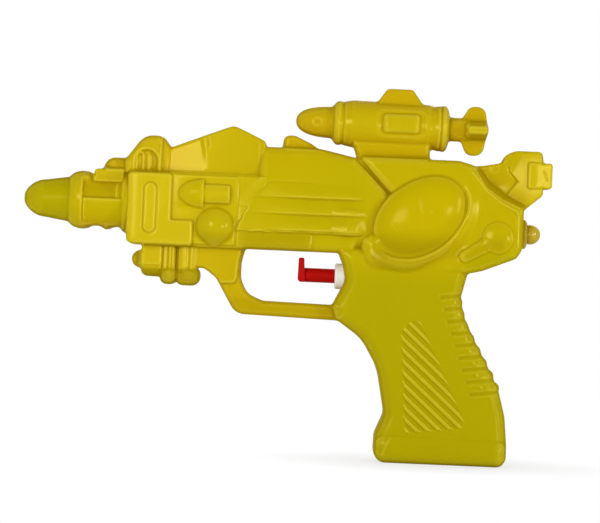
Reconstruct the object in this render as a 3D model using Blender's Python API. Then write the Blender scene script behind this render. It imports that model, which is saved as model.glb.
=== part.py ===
"""Water squirter: a hollow toy pistol moulded in two halves around a finger pump.

The drawing is in millimetres: X runs back from the muzzle, Z up from the barrel axis and Y out from
the parting plane between the halves. Every object is turned into metres as it is published, and an
empty puts the middle of the hand grip at the world origin.
"""

import math

import bmesh
import bpy
from mathutils import Matrix, Vector

MM = 0.001

# Stations along the barrel.
NOSE_LENGTH = 18.0
COLLAR_LENGTH = 24.0
FRONT_LENGTH = 46.0
OPENING_LENGTH = 41.2
HOUSING_LENGTH = 70.2
BLOCK_X = NOSE_LENGTH + COLLAR_LENGTH
OPENING_X = BLOCK_X + FRONT_LENGTH
GRIP_X = OPENING_X + OPENING_LENGTH
REAR_X = GRIP_X + HOUSING_LENGTH
BLOCK_LENGTH = 17.4
FOOT_LENGTH = 8.9
PANEL_X = BLOCK_X + BLOCK_LENGTH
HUMP_LENGTH = 16.0
FIN_X = BLOCK_X + HUMP_LENGTH - 1.4
FIN_LENGTH = 39.4

# Levels above the barrel axis.
SEAM_Z = 12.4
RAIL_Z = -16.2
RAIL_HEIGHT = 6.8
DECK_Z = 24.2
HOUSING_Z = 22.0
FIN_Z = 31.8
BARREL_Z = 0.3
SCOPE_Z = 35.2
FILLER_Z = -5.9
PUMP_Z = -25.9
OPENING_DEPTH = 20.8
GUARD_BAR = 5.8
GUARD_Z = RAIL_Z - OPENING_DEPTH
GRIP_HEIGHT = 82.8
BUTT_Z = RAIL_Z - GRIP_HEIGHT
GRIP_DEPTH = 46.0
BUTT_DEPTH = 52.8
BUTT_X = REAR_X - 3.0
BUTT_BAND = 11.0

# Half widths, out from the parting plane.
CORE_HALF = 9.9
RECEIVER_HALF = 12.0
BLOCK_HALF = 14.4
PANEL_HALF = 12.6
RAIL_STEP = 0.5
FIN_HALF = 8.8
FIN_LEAN = 2.6
HUMP_HALF = 7.7
LOUVRE_DEPTH = 1.3
HOUSING_HALF = 12.8
SKIRT_HALF = 14.0
GRIP_HALF = 13.0
BUTT_HALF = 14.3
GUARD_HALF = 6.4
POST_HALF = 7.6
SADDLE_HALF = 6.2
SCOPE_FIN_HALF = 3.2
REAR_FIN_HALF = 5.3
REAR_BLOCK_HALF = 7.3
SIGHT_HALF = 4.1

# Barrel and scope.
NOSE_RADIUS = 8.9
NOSE_DOME = 7.3
NOSE_DOME_LENGTH = 8.6
NOSE_TRIM = 0.6
NECK_RADIUS = 9.9
RING_HEIGHT = 1.7
BARREL_BORE = 6.7
SCOPE_X = GRIP_X - 21.8
SCOPE_NOSE_LENGTH = 14.6
SCOPE_NOSE_RADIUS = 6.2
SCOPE_TUBE_LENGTH = 37.0
SCOPE_RADIUS = 9.3
SCOPE_NECK_RADIUS = 4.7
SCOPE_NECK_LENGTH = 5.8
SCOPE_VANE_LENGTH = 10.0
SCOPE_VANE_RADIUS = 9.7
SCOPE_TILT = 0.8
VANE_HALF = 1.7

# Side relief.
SLOT_WIDTH = 5.2
SLOT_HEIGHT = 20.0
BULLET_LENGTH = 20.3
BULLET_RADIUS = 5.9
BALL_RADIUS = 7.7
VENT_BANDS = 3
VENT_PITCH = 6.6
VENT_STEP = 1.1
VENT_RISE = 1.7
EGG_LONG = 20.0
EGG_SHORT = 14.5
EGG_TILT = 36.5
EGG_RISE = 6.0
EGG_RIM = 2.2
SPOON_RADIUS = 5.8
RIDGE_PITCH = 3.0
RIDGE_HEIGHT = 0.9
RIDGE_ANGLE = -46.5
BACK_RIBS = 8
BACK_RIB_LENGTH = 9.0
BACK_RIB_STAND = 0.6

# Pump, valves and tubes.
WALL = 1.9
FIT = 0.3
SLIDE = 0.2
STEM_RADIUS = 2.85
PAD_HEIGHT = 9.7
PAD_THICKNESS = 1.8
PAD_HALF = 4.8
TRIGGER_REACH = 18.3
STROKE = 10.0
COLLAR_REACH = 3.7
COLLAR_RADIUS = 5.1
GASKET_THICKNESS = 1.2
SEAL_THICKNESS = 1.0
FLANGE_THICKNESS = 2.2
FLANGE_RADIUS = 7.5
SKIRT_LENGTH = 4.8
BORE_RADIUS = 4.9
CYLINDER_WALL = 1.3
END_THICKNESS = 2.0
PISTON_LENGTH = 5.0
PISTON_DELAY = 2.4
CLOSED_SPRING = 10.2
CYLINDER_LENGTH = PISTON_DELAY + PISTON_LENGTH + STROKE + CLOSED_SPRING + END_THICKNESS
SPRING_WIRE = 0.4
SPRING_RADIUS = 3.3
SPRING_TURNS = 7.5
VALVE_BACK = 6.5
VALVE_RADIUS = 4.3
CHAMBER_RADIUS = 2.55
VALVE_BALL = 2.0
BALL_LIFT = 1.4
PORT_RADIUS = 1.2
BARB_RADIUS = 1.4
BARB_LENGTH = 6.0
FITTING_FLANGE = 1.5
TUBE_RADIUS = 2.6
TUBE_BORE = 1.6
TUBE_BEND = 9.0
TUBE_DROP = 50.0
NECK_BORE = 3.7
NECK_OUTER = 4.7
NECK_FLANGE = 5.9
PLUG_KNOB = 4.0
PIN_RADIUS = 1.1
PIN_BOSS = 2.5
PIN_REACH = 2.2

# Meshing.
ARC_DEGREES = 38.0
SOFT_RIM = 1.7
TURN_STEPS = 22
SMALL_TURN_STEPS = 14
DOME_POINTS = 5

GRIP_CENTRE = ((GRIP_X + BUTT_X) / 2, 0.0, (PUMP_Z + BUTT_Z) / 2)

YELLOW = ((0.62, 0.47, 0.02, 1.0), 0.32)
RED = ((0.45, 0.006, 0.004, 1.0), 0.35)
NATURAL = ((0.80, 0.79, 0.72, 1.0), 0.42)
CLEAR = ((0.74, 0.78, 0.76, 1.0), 0.20)
RUBBER = ((0.03, 0.03, 0.03, 1.0), 0.70)
STEEL = ((0.55, 0.56, 0.58, 1.0), 0.28)


def object_of(mesh_builder, name="piece"):
    """An object holding what is in the bmesh, with its faces turned outwards."""
    bmesh.ops.remove_doubles(mesh_builder, verts=mesh_builder.verts, dist=1e-4)
    bmesh.ops.recalc_face_normals(mesh_builder, faces=mesh_builder.faces)
    mesh = bpy.data.meshes.new(name)
    mesh_builder.to_mesh(mesh)
    mesh_builder.free()
    made = bpy.data.objects.new(name, mesh)
    bpy.context.scene.collection.objects.link(made)
    return made


def rounded(corners):
    """Points (x, z) of a closed outline, with an arc at each (x, z, radius) corner."""
    points = []
    for index, (x, z, radius) in enumerate(corners):
        corner = Vector((x, z))
        back = Vector(corners[index - 1][:2]) - corner
        ahead = Vector(corners[(index + 1) % len(corners)][:2]) - corner
        turn = math.pi - back.angle(ahead)
        if radius <= 0 or turn < math.radians(2):
            points.append(corner)
            continue
        reach = min(radius * math.tan(turn / 2), 0.49 * back.length, 0.49 * ahead.length)
        radius = reach / math.tan(turn / 2)
        inward = (back.normalized() + ahead.normalized()).normalized()
        centre = corner + inward * radius / math.cos(turn / 2)
        first = corner + back.normalized() * reach - centre
        side = 1 if back.cross(ahead) < 0 else -1
        steps = max(1, round(math.degrees(turn) / ARC_DEGREES))
        for step in range(steps + 1):
            swing = side * turn * step / steps
            points.append(centre + Matrix.Rotation(swing, 2) @ first)
    return points


def inset(corners, distance):
    """The outline's corners moved in by this distance, with the arcs kept concentric."""
    count = len(corners)
    area = sum(corners[i - 1][0] * corners[i][1] - corners[i][0] * corners[i - 1][1] for i in range(count))
    side = 1 if area > 0 else -1
    moved = []
    for index, (x, z, radius) in enumerate(corners):
        corner = Vector((x, z))
        before = (corner - Vector(corners[index - 1][:2])).normalized()
        after = (Vector(corners[(index + 1) % count][:2]) - corner).normalized()
        normal_before = Vector((-before.y, before.x)) * side
        normal_after = Vector((-after.y, after.x)) * side
        bisector = (normal_before + normal_after).normalized()
        shift = bisector * distance / bisector.dot(normal_after)
        convex = before.cross(after) * side > 0
        kept = 0 if radius <= 0 else max(radius - distance if convex else radius + distance, 0.02)
        moved.append((x + shift.x, z + shift.y, kept))
    return moved


def skin_loops(mesh_builder, loops, ring=False):
    """Faces between each loop of vertices and the next; the ends are capped unless it is a ring."""
    pairs = list(zip(loops, loops[1:] + loops[:1] if ring else loops[1:]))
    for first, second in pairs:
        for index in range(len(first)):
            mesh_builder.faces.new((first[index - 1], first[index], second[index], second[index - 1]))
    if not ring:
        mesh_builder.faces.new(loops[0])
        mesh_builder.faces.new(loops[-1])


def plate(corners, half_width, rim=0.0):
    """A slab of this outline astride the parting plane, with both rims rounded."""
    sections = [(0.0, half_width)]
    if rim:
        steps = 2 if rim > SOFT_RIM else 1
        turns = [math.radians(90 * step / steps) for step in range(steps + 1)]
        sections = [(rim * (1 - math.cos(t)), half_width - rim + rim * math.sin(t)) for t in turns]
    sections = [(distance, -y) for distance, y in reversed(sections)] + sections
    mesh_builder = bmesh.new()
    loops = []
    for distance, y in sections:
        outline = rounded(inset(corners, distance))
        loops.append([mesh_builder.verts.new((x, y, z)) for x, z in outline])
    skin_loops(mesh_builder, loops)
    return object_of(mesh_builder)


def oval(centre_x, centre_z, long, short, tilt, count=28):
    """Corners of an ellipse whose long axis is raised by this many degrees."""
    turn = Matrix.Rotation(math.radians(tilt), 2)
    corners = []
    for step in range(count):
        angle = 2 * math.pi * step / count
        point = turn @ Vector((long * math.cos(angle), short * math.sin(angle)))
        corners.append((centre_x + point.x, centre_z + point.y, 0))
    return corners


def prism(points, reach):
    """A solid with this loop of points as its end face, carried along the reach vector."""
    mesh_builder = bmesh.new()
    loops = [[mesh_builder.verts.new(Vector(p) + Vector(reach) * end) for p in points] for end in (0, 1)]
    skin_loops(mesh_builder, loops)
    return object_of(mesh_builder)


def box(low, high):
    """A block between two opposite corners."""
    (x0, y0, z0), (x1, y1, z1) = low, high
    return prism([(x0, y0, z0), (x1, y0, z0), (x1, y0, z1), (x0, y0, z1)], (0, y1 - y0, 0))


def turned(profile, centre, axis=(1, 0, 0), ring=False, steps=TURN_STEPS):
    """A lathe piece: (along, radius) points spun about an axis; a ring profile closes on itself."""
    along = Vector(axis)
    across = Vector((0, 0, 1)) if along.x else Vector((1, 0, 0))
    outward = Matrix.Rotation(math.pi / steps, 3, along) @ across
    mesh_builder = bmesh.new()
    verts = [mesh_builder.verts.new(Vector(centre) + along * a + outward * r) for a, r in profile]
    count = len(profile)
    edges = []
    for index in range(count if ring else count - 1):
        after = (index + 1) % count
        if profile[index][1] > 0 or profile[after][1] > 0:
            edges.append(mesh_builder.edges.new((verts[index], verts[after])))
    bmesh.ops.spin(
        mesh_builder, geom=verts + edges, cent=centre, axis=axis, angle=math.tau, steps=steps, use_merge=True
    )
    return object_of(mesh_builder)


def rod(start, end, radius, steps=SMALL_TURN_STEPS):
    """A plain round bar from one point to another."""
    mesh_builder = bmesh.new()
    run = Vector(end) - Vector(start)
    aim = run.to_track_quat("Z", "Y").to_matrix().to_4x4() @ Matrix.Rotation(math.pi / steps, 4, "Z")
    bmesh.ops.create_cone(
        mesh_builder,
        cap_ends=True,
        segments=steps,
        radius1=radius,
        radius2=radius,
        depth=run.length,
        matrix=Matrix.Translation((Vector(start) + Vector(end)) / 2) @ aim,
    )
    return object_of(mesh_builder)


def ellipsoid(centre, radii, tilt=0.0, around=24, up=12):
    """A stretched sphere, turned in the side view by this many degrees."""
    size = Matrix.Diagonal((*radii, 1))
    turn = Matrix.Rotation(-math.radians(tilt), 4, "Y")
    pole = Matrix.Rotation(math.pi / 2, 4, "X")
    mesh_builder = bmesh.new()
    bmesh.ops.create_uvsphere(
        mesh_builder,
        u_segments=around,
        v_segments=up,
        radius=1.0,
        matrix=Matrix.Translation(centre) @ turn @ size @ pole,
    )
    return object_of(mesh_builder)


def hollow_tube(corners, outer, inner, sides=12):
    """A hose carried along an open run in the parting plane, bored right through."""
    path = rounded(corners)
    mesh_builder = bmesh.new()
    loops = []
    for radius, order in ((outer, 1), (inner, -1)):
        rings = []
        for index, point in enumerate(path):
            ahead = path[min(index + 1, len(path) - 1)] - path[max(index - 1, 0)]
            across = Vector((-ahead.y, ahead.x)).normalized()
            ring = []
            for step in range(sides):
                angle = math.tau * step / sides
                spot = point + across * radius * math.cos(angle)
                ring.append(mesh_builder.verts.new((spot.x, radius * math.sin(angle), spot.y)))
            rings.append(ring)
        loops += rings[::order]
    skin_loops(mesh_builder, loops, ring=True)
    return object_of(mesh_builder)


def combine(base, operation, tools):
    """The base with all the tools joined, cut away or kept in common; the tools are used up."""
    group = bpy.data.collections.new("tools")
    bpy.context.scene.collection.children.link(group)
    for tool in tools:
        group.objects.link(tool)
    modifier = base.modifiers.new("combine", "BOOLEAN")
    modifier.operation = operation
    modifier.solver = "EXACT"
    modifier.operand_type = "COLLECTION"
    modifier.collection = group
    graph = bpy.context.evaluated_depsgraph_get()
    mesh = bpy.data.meshes.new_from_object(base.evaluated_get(graph))
    base.modifiers.clear()
    base.data = mesh
    for tool in tools:
        bpy.data.objects.remove(tool)
    bpy.data.collections.remove(group)
    return base


def joined(first, *others):
    """The union of the pieces."""
    return combine(first, "UNION", others)


def cut(base, *tools):
    """The base less the tools."""
    return combine(base, "DIFFERENCE", tools)


def common(first, second):
    """What both pieces share."""
    return combine(first, "INTERSECT", [second])


def mirrored(source):
    """A copy of the piece on the other side of the parting plane."""
    mesh = source.data.copy()
    mesh.transform(Matrix.Diagonal((1, -1, 1, 1)))
    mesh.flip_normals()
    made = bpy.data.objects.new("piece", mesh)
    bpy.context.scene.collection.objects.link(made)
    return made


def turn_in_side_view(piece, degrees, x, z):
    """Leans a piece about a point of the parting plane."""
    spot = Matrix.Translation((x, 0, z))
    piece.data.transform(spot @ Matrix.Rotation(math.radians(degrees), 4, "Y") @ spot.inverted())
    return piece


def finish(name, look):
    """A plain Principled material."""
    colour, roughness = look
    material = bpy.data.materials.new(name)
    material.use_nodes = True
    shader = material.node_tree.nodes["Principled BSDF"]
    shader.inputs["Base Color"].default_value = colour
    shader.inputs["Roughness"].default_value = roughness
    material.diffuse_color = colour
    return material


def publish(piece, name, look, origin=(0, 0, 0)):
    """Names a finished piece, puts its origin where it turns or slides, and turns it into metres."""
    piece.name = name
    piece.data.name = name
    piece.data.transform(Matrix.Scale(MM, 4) @ Matrix.Translation(-Vector(origin)))
    piece.location = Vector(origin) * MM
    piece.parent = bpy.data.objects["squirter"]
    piece.data.materials.clear()
    piece.data.materials.append(finish(name, look))


def dome(start, length, radius, power):
    """(along, radius) points of a rounded nose: a superellipse quarter from its tip."""
    points = []
    for step in range(DOME_POINTS + 1):
        share = 1 - math.cos(math.pi / 2 * step / DOME_POINTS)
        points.append((start + length * share, radius * (1 - (1 - share) ** power) ** (1 / power)))
    return points


def bulge(start, length, radius, height):
    """(along, radius) points of a soft ring standing on a plain radius."""
    shares = (0.0, 0.12, 0.32, 0.55, 0.8, 1.0)
    return [(start + length * s, radius + height * math.sin(math.pi * s) ** 0.7) for s in shares]


def core_outline():
    """The plain body inside all the relief, which the tank follows."""
    return [
        (BLOCK_X + 2, RAIL_Z + 0.4, 1),
        (GRIP_X + 2, RAIL_Z + 0.4, 0),
        (GRIP_X + 6, PUMP_Z + 3.6, 0),
        (REAR_X - 21, PUMP_Z + 3.6, 1),
        (REAR_X - 15.4, RAIL_Z - 4.7, 8),
        (REAR_X - 2.8, RAIL_Z + 0.4, 3),
        (REAR_X - 0.2, FILLER_Z - 6.1, 2),
        (REAR_X - 0.2, FILLER_Z + 9.7, 1),
        (REAR_X - 8.4, FILLER_Z + 13.1, 8),
        (REAR_X - 15.1, FILLER_Z + 17.5, 10),
        (REAR_X - 21.1, HOUSING_Z - 1.8, 2),
        (REAR_X - 26.4, HOUSING_Z - 0.4, 6),
        (GRIP_X + 2, HOUSING_Z - 0.9, 3),
        (GRIP_X - 11.2, DECK_Z - 0.4, 14),
        (FIN_X + FIN_LENGTH - 4, DECK_Z - 0.4, 1.5),
        (FIN_X + FIN_LENGTH - 4, SEAM_Z - 0.2, 0.4),
        (BLOCK_X + 2, SEAM_Z - 0.2, 1),
    ]


def receiver_outline():
    """The body ahead of the slanting groove."""
    return [
        (BLOCK_X + 1.6, RAIL_Z, 1.2),
        (GRIP_X + 3, RAIL_Z, 0),
        (GRIP_X + 11, RAIL_Z + 6.2, 0),
        (GRIP_X + 15.4, SEAM_Z - 7.0, 1.5),
        (GRIP_X + 2.4, HOUSING_Z - 1.2, 2),
        (GRIP_X - 11.2, DECK_Z, 14),
        (FIN_X + FIN_LENGTH - 3, DECK_Z, 1.5),
        (FIN_X + FIN_LENGTH - 3, SEAM_Z, 0.4),
        (BLOCK_X + 1.6, SEAM_Z, 1),
    ]


def housing_outline():
    """The body behind the slanting groove."""
    return [
        (GRIP_X + 20.8, PUMP_Z + 3.3, 0),
        (REAR_X - 20.9, PUMP_Z + 3.3, 1),
        (REAR_X - 15.4, RAIL_Z - 5.0, 8),
        (REAR_X - 2.4, RAIL_Z + 0.2, 3),
        (REAR_X, FILLER_Z - 6.1, 2),
        (REAR_X, FILLER_Z + 9.9, 1.2),
        (REAR_X - 8.4, FILLER_Z + 13.4, 8),
        (REAR_X - 14.9, FILLER_Z + 17.9, 10),
        (REAR_X - 20.8, HOUSING_Z - 1.5, 2),
        (REAR_X - 26.4, HOUSING_Z, 6),
        (GRIP_X + 5.6, HOUSING_Z, 0.8),
        (GRIP_X + 19.0, SEAM_Z - 4.8, 1.2),
        (GRIP_X + 20.8, FILLER_Z, 0),
    ]


def back_edge(share):
    """A point of the grip's ribbed back, from the web under the housing (0) to above the butt (1)."""
    top = Vector((GRIP_X + GRIP_DEPTH + 0.7, PUMP_Z - 6.6))
    low = Vector((BUTT_X - 4.0, BUTT_Z + 31.0))
    sag = Vector((GRIP_X + GRIP_DEPTH + 5.0, PUMP_Z - 21.9))
    return top * (1 - share) ** 2 + sag * 2 * share * (1 - share) + low * share**2


def grip_outline():
    """The hand grip, from the pump's wall down to the flat butt."""
    front = BUTT_X - BUTT_DEPTH
    back = [(*back_edge(share), 8) for share in (1.0, 0.75, 0.5, 0.25)]
    return [
        (front + 0.1, BUTT_Z + 0.5, 4.5),
        (BUTT_X + 0.1, BUTT_Z + 0.5, 4),
        (BUTT_X + 0.1, BUTT_Z + 9, 10),
        (BUTT_X - 1.0, BUTT_Z + 20, 20),
        *back,
        (*back_edge(0.0), 1.5),
        (GRIP_X + GRIP_DEPTH + 3.2, PUMP_Z + 3.9, 1),
        (GRIP_X + GRIP_DEPTH + 2.8, PUMP_Z + 12, 1),
        (GRIP_X - 3.8, PUMP_Z + 12, 0.5),
        (GRIP_X - 0.7, PUMP_Z + 4.6, 6),
        (GRIP_X + 0.5, PUMP_Z - 1.6, 7),
        (GRIP_X - 4.4, GUARD_Z - 0.6, 0.5),
        (GRIP_X - 2.4, GUARD_Z - GUARD_BAR - 0.4, 1.5),
        (GRIP_X + 7.8, GUARD_Z - 13.2, 18),
        (GRIP_X + 14.6, GUARD_Z - 24.5, 26),
        (front + 3.7, BUTT_Z + 19.5, 6),
        (front + 0.2, BUTT_Z + 11, 6),
    ]


def guard_outline():
    """The bow that carries the finger opening: a front post and a bar back to the grip."""
    low = GUARD_Z - GUARD_BAR
    return [
        (OPENING_X - 18.6, RAIL_Z + 1, 0),
        (OPENING_X - 18.6, RAIL_Z - 8.6, 0.8),
        (OPENING_X - 14.6, RAIL_Z - 8.8, 4),
        (OPENING_X - 9.8, RAIL_Z - 12.4, 5),
        (OPENING_X - 1.4, low + 0.5, 6.5),
        (GRIP_X - 1, low - 0.5, 1),
        (GRIP_X + 3, GUARD_Z - 1, 0),
        (GRIP_X - 4, GUARD_Z - 0.4, 0),
        (OPENING_X - 0.1, GUARD_Z + 0.2, 11),
        (OPENING_X - 0.1, RAIL_Z - 6, 6),
        (OPENING_X + 2, RAIL_Z + 1, 0),
    ]


def block_outline(foot):
    """The block behind the barrel, with a low foot reaching back to this station."""
    upright = [(BLOCK_X, SEAM_Z - 0.5, 1.8), (BLOCK_X, RAIL_Z + 0.2, 1.8)]
    if foot <= PANEL_X:
        return [*upright, (PANEL_X, RAIL_Z + 0.2, 1.8), (PANEL_X, SEAM_Z - 0.5, 1.8)]
    return [
        *upright,
        (foot, RAIL_Z + 0.2, 1.8),
        (foot, RAIL_Z + 9.9, 1.8),
        (PANEL_X, RAIL_Z + 9.9, 0.8),
        (PANEL_X, SEAM_Z - 0.5, 1.8),
    ]


def egg_centre():
    """The middle of the egg-shaped bulge on the housing."""
    return (REAR_X - 41.4, SKIRT_HALF - 1.4, -0.7)


def egg_radii(grow):
    """The bulge's half lengths: along, out and across, all larger by this much."""
    return (1.06 * EGG_LONG + grow, EGG_RISE + grow, 1.06 * EGG_SHORT + grow)


def front_features():
    """Barrel, front block, hump and the lower cluster."""
    rings = bulge(NOSE_LENGTH, 11.0, NOSE_RADIUS + 0.9, RING_HEIGHT)
    rings += bulge(NOSE_LENGTH + 11.8, 7.9, NECK_RADIUS, RING_HEIGHT - 0.3)
    rings += [(BLOCK_X - 1.6, NECK_RADIUS + 1.6), (BLOCK_X - 0.6, NECK_RADIUS + 2.5)]
    barrel = dome(-NOSE_TRIM, NOSE_DOME_LENGTH, NOSE_DOME, 1.7) + rings
    barrel += [(BLOCK_X + 3, NECK_RADIUS + 2.5), (BLOCK_X + 3, 0)]
    yield turned(barrel, (0, 0, BARREL_Z))
    strip_low = BARREL_Z - 3.3
    yield plate(
        [
            (NOSE_LENGTH + 6, strip_low, 0.4),
            (BLOCK_X - 5, strip_low, 0.4),
            (BLOCK_X - 5, strip_low + 3.8, 0.4),
            (NOSE_LENGTH + 6, strip_low + 3.8, 0.4),
        ],
        NECK_RADIUS + RING_HEIGHT + 0.5,
        0.4,
    )
    yield plate(
        [
            (BLOCK_X - 13.8, SEAM_Z - 4.6, 0.5),
            (BLOCK_X - 3, SEAM_Z - 4.6, 0),
            (BLOCK_X - 3, SEAM_Z + 0.4, 0.4),
            (BLOCK_X - 13.8, SEAM_Z + 0.4, 1.6),
        ],
        NECK_RADIUS - 2.6,
        0.8,
    )
    yield plate(
        [
            (BLOCK_X - 10.6, SEAM_Z - 2, 0),
            (BLOCK_X, SEAM_Z - 2, 0),
            (BLOCK_X, SEAM_Z + 5.2, 0.5),
            (BLOCK_X - 9.0, SEAM_Z + 5.2, 2.8),
        ],
        SIGHT_HALF + 0.3,
        2.2,
    )
    yield plate(block_outline(PANEL_X + FOOT_LENGTH), BLOCK_HALF, 1.5)
    slot_x = BLOCK_X + 8.9
    slot_z = (SEAM_Z + RAIL_Z) / 2 + 0.1
    wide, tall = SLOT_WIDTH / 2, SLOT_HEIGHT / 2
    yield plate(
        [
            (slot_x - wide, slot_z - tall, wide),
            (slot_x + wide, slot_z - tall, wide),
            (slot_x + wide, slot_z + tall, wide),
            (slot_x - wide, slot_z + tall, wide),
        ],
        BLOCK_HALF + 0.7,
        0.6,
    )
    yield hump()
    yield plate(
        [
            (BLOCK_X + 6.3, RAIL_Z + 2, 0),
            (BLOCK_X + 6.3, RAIL_Z - 12.8, 2.4),
            (BLOCK_X + 14.6, RAIL_Z - 13.0, 1.5),
            (BLOCK_X + 14.6, RAIL_Z + 2, 0),
        ],
        POST_HALF + 0.5,
        1.4,
    )
    for start, width, depth, half in ((14.2, 7.0, 15.7, 1.2), (20.9, 9.0, 16.0, 0.9)):
        yield plate(
            [
                (BLOCK_X + start, RAIL_Z + 2.2, 0),
                (BLOCK_X + start, RAIL_Z - depth, 2.6),
                (BLOCK_X + start + width, RAIL_Z - depth, 3.2),
                (BLOCK_X + start + width, RAIL_Z + 2.2, 0),
            ],
            POST_HALF + half,
            2.4,
        )
    yield ellipsoid((BLOCK_X + 5.9, 0, RAIL_Z - 6.2), (3.7, 3.9, 3.6), around=16, up=10)


def hump():
    """The arched housing over the front block, with its louvred recess."""
    left, right = BLOCK_X - 2.2, BLOCK_X + HUMP_LENGTH + 0.4
    body = plate(
        [
            (left, SEAM_Z - 1, 0),
            (right, SEAM_Z - 1, 0),
            (right, SEAM_Z + 9.6, 3),
            (right - 3.4, SEAM_Z + 14.8, 4),
            (left + 7.4, SEAM_Z + 14.8, 7),
            (left, SEAM_Z + 4.8, 4),
        ],
        HUMP_HALF,
        1.8,
    )
    arch = [
        (BLOCK_X + 2.3, SEAM_Z + 0.6, 0.6),
        (BLOCK_X + 11.4, SEAM_Z + 0.6, 0.6),
        (BLOCK_X + 11.4, SEAM_Z + 9.4, 4.2),
        (BLOCK_X + 2.3, SEAM_Z + 9.4, 4.2),
    ]
    recess = cut(plate(arch, HUMP_HALF + 2), plate(inset(arch, -3), HUMP_HALF - LOUVRE_DEPTH))
    fins = []
    for offset, height in ((4.0, 7.4), (6.3, 9.0)):
        x = BLOCK_X + offset
        fins.append(box((x, -20, SEAM_Z - 2), (x + 1, 20, SEAM_Z + height)))
    return cut(body, cut(recess, *fins))


def fin_outline(low):
    """The peaked fin over the body, standing up from this level."""
    right = FIN_X + FIN_LENGTH
    return [
        (FIN_X, low, 0.4),
        (right - 1.2, low, 1.2),
        (right, FIN_Z - 5.5, 2),
        (right - 8.6, FIN_Z - 1.4, 4),
        (right - 12.8, FIN_Z + 0.5, 4),
        (right - 16.6, FIN_Z - 0.7, 4),
        (FIN_X + 1.6, FIN_Z - 9.4, 1.5),
        (FIN_X, FIN_Z - 11, 1),
    ]


def top_features():
    """Top fin, rear sight and scope."""
    fin = plate(fin_outline(SEAM_Z - 0.6), FIN_HALF, 1.6)
    fold = FIN_X + 15.2
    facet = [
        (fold, FIN_HALF, 0),
        (FIN_X - 2, FIN_HALF - FIN_LEAN * 1.13, 0),
        (FIN_X - 2, FIN_HALF + 9, 0),
        (fold, FIN_HALF + 9, 0),
    ]
    yield cut(fin, prism(facet, (0, 0, 80)))
    yield plate(
        [
            (OPENING_X + 14.2, DECK_Z - 1.4, 0),
            (OPENING_X + 31, DECK_Z - 1.4, 0),
            (OPENING_X + 26.5, DECK_Z + 2, 10),
            (OPENING_X + 19.4, DECK_Z + 5.4, 3.4),
            (OPENING_X + 15.2, DECK_Z + 5.0, 2.4),
        ],
        SIGHT_HALF,
        1.2,
    )
    nose = SCOPE_X + SCOPE_NOSE_LENGTH
    tube = nose + 4.4
    rear = tube + SCOPE_TUBE_LENGTH
    neck = rear + 5.0
    vane = neck + SCOPE_NECK_LENGTH
    profile = dome(SCOPE_X, SCOPE_NOSE_LENGTH, SCOPE_NOSE_RADIUS, 2.3)
    profile += [(nose + 0.7, 7.2), (nose + 1.5, 8.5), (nose + 2.6, 8.9), (nose + 3.8, 8.6)]
    profile += [(tube + 0.6, SCOPE_RADIUS - 0.3), (tube + 2.4, SCOPE_RADIUS), (rear - 12, SCOPE_RADIUS)]
    profile += [(rear - 1.4, SCOPE_RADIUS - 0.4), (rear + 0.6, SCOPE_RADIUS - 1.0)]
    profile += [(rear + 1.4, SCOPE_RADIUS - 0.4), (rear + 3.2, SCOPE_RADIUS - 0.3)]
    profile += [(rear + 4.4, SCOPE_RADIUS - 1.2)]
    profile += [(neck, SCOPE_NECK_RADIUS), (vane + 2, SCOPE_NECK_RADIUS), (vane + 2, 0)]
    top_fin = [
        (tube + 12.8, SCOPE_Z + 5, 0),
        (tube + 31.6, SCOPE_Z + 5, 0),
        (tube + 31.2, SCOPE_Z + 8.6, 0),
        (tube + 27.4, SCOPE_Z + 14.5, 1.4),
        (tube + 16.8, SCOPE_Z + 14.5, 1.4),
        (tube + 12.8, SCOPE_Z + 8.6, 0),
    ]
    pad = [
        (tube + 14.4, SCOPE_Z - 3.6, 2),
        (tube + 31.4, SCOPE_Z - 3.6, 2),
        (tube + 31.4, SCOPE_Z + 4.2, 2),
        (tube + 14.4, SCOPE_Z + 4.2, 2),
    ]
    tall, low = SCOPE_VANE_RADIUS, SCOPE_NECK_RADIUS - 1
    wing = [
        (vane - 1.2, -low, 1),
        (vane + 1.4, -tall, 3.4),
        (vane + SCOPE_VANE_LENGTH - 1.8, -tall, 3.4),
        (vane + SCOPE_VANE_LENGTH, 0, 8),
        (vane + SCOPE_VANE_LENGTH - 1.8, tall, 3.4),
        (vane + 1.4, tall, 3.4),
        (vane - 1.2, low, 1),
    ]
    upright = plate([(x, z + SCOPE_Z, r) for x, z, r in wing], VANE_HALF, 0.6)
    level = plate(wing, VANE_HALF + 0.1, 0.6)
    level.data.transform(Matrix.Translation((0, 0, SCOPE_Z)) @ Matrix.Rotation(math.pi / 2, 4, "X"))
    pieces = [
        turned(profile, (0, 0, SCOPE_Z)),
        plate(top_fin, SCOPE_FIN_HALF, 0.8),
        plate(pad, SCOPE_RADIUS + 0.9, 1.2),
        upright,
        level,
    ]
    for piece in pieces:
        yield turn_in_side_view(piece, SCOPE_TILT, (tube + rear) / 2, SCOPE_Z)
    yield plate(
        [
            (tube + 6.6, HOUSING_Z - 2.4, 0),
            (tube + 34.9, HOUSING_Z - 2.4, 0),
            (tube + 34.9, SCOPE_Z - 6.6, 0),
            (tube + 3.2, SCOPE_Z - 6.6, 0),
        ],
        SADDLE_HALF,
        0.8,
    )


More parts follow.
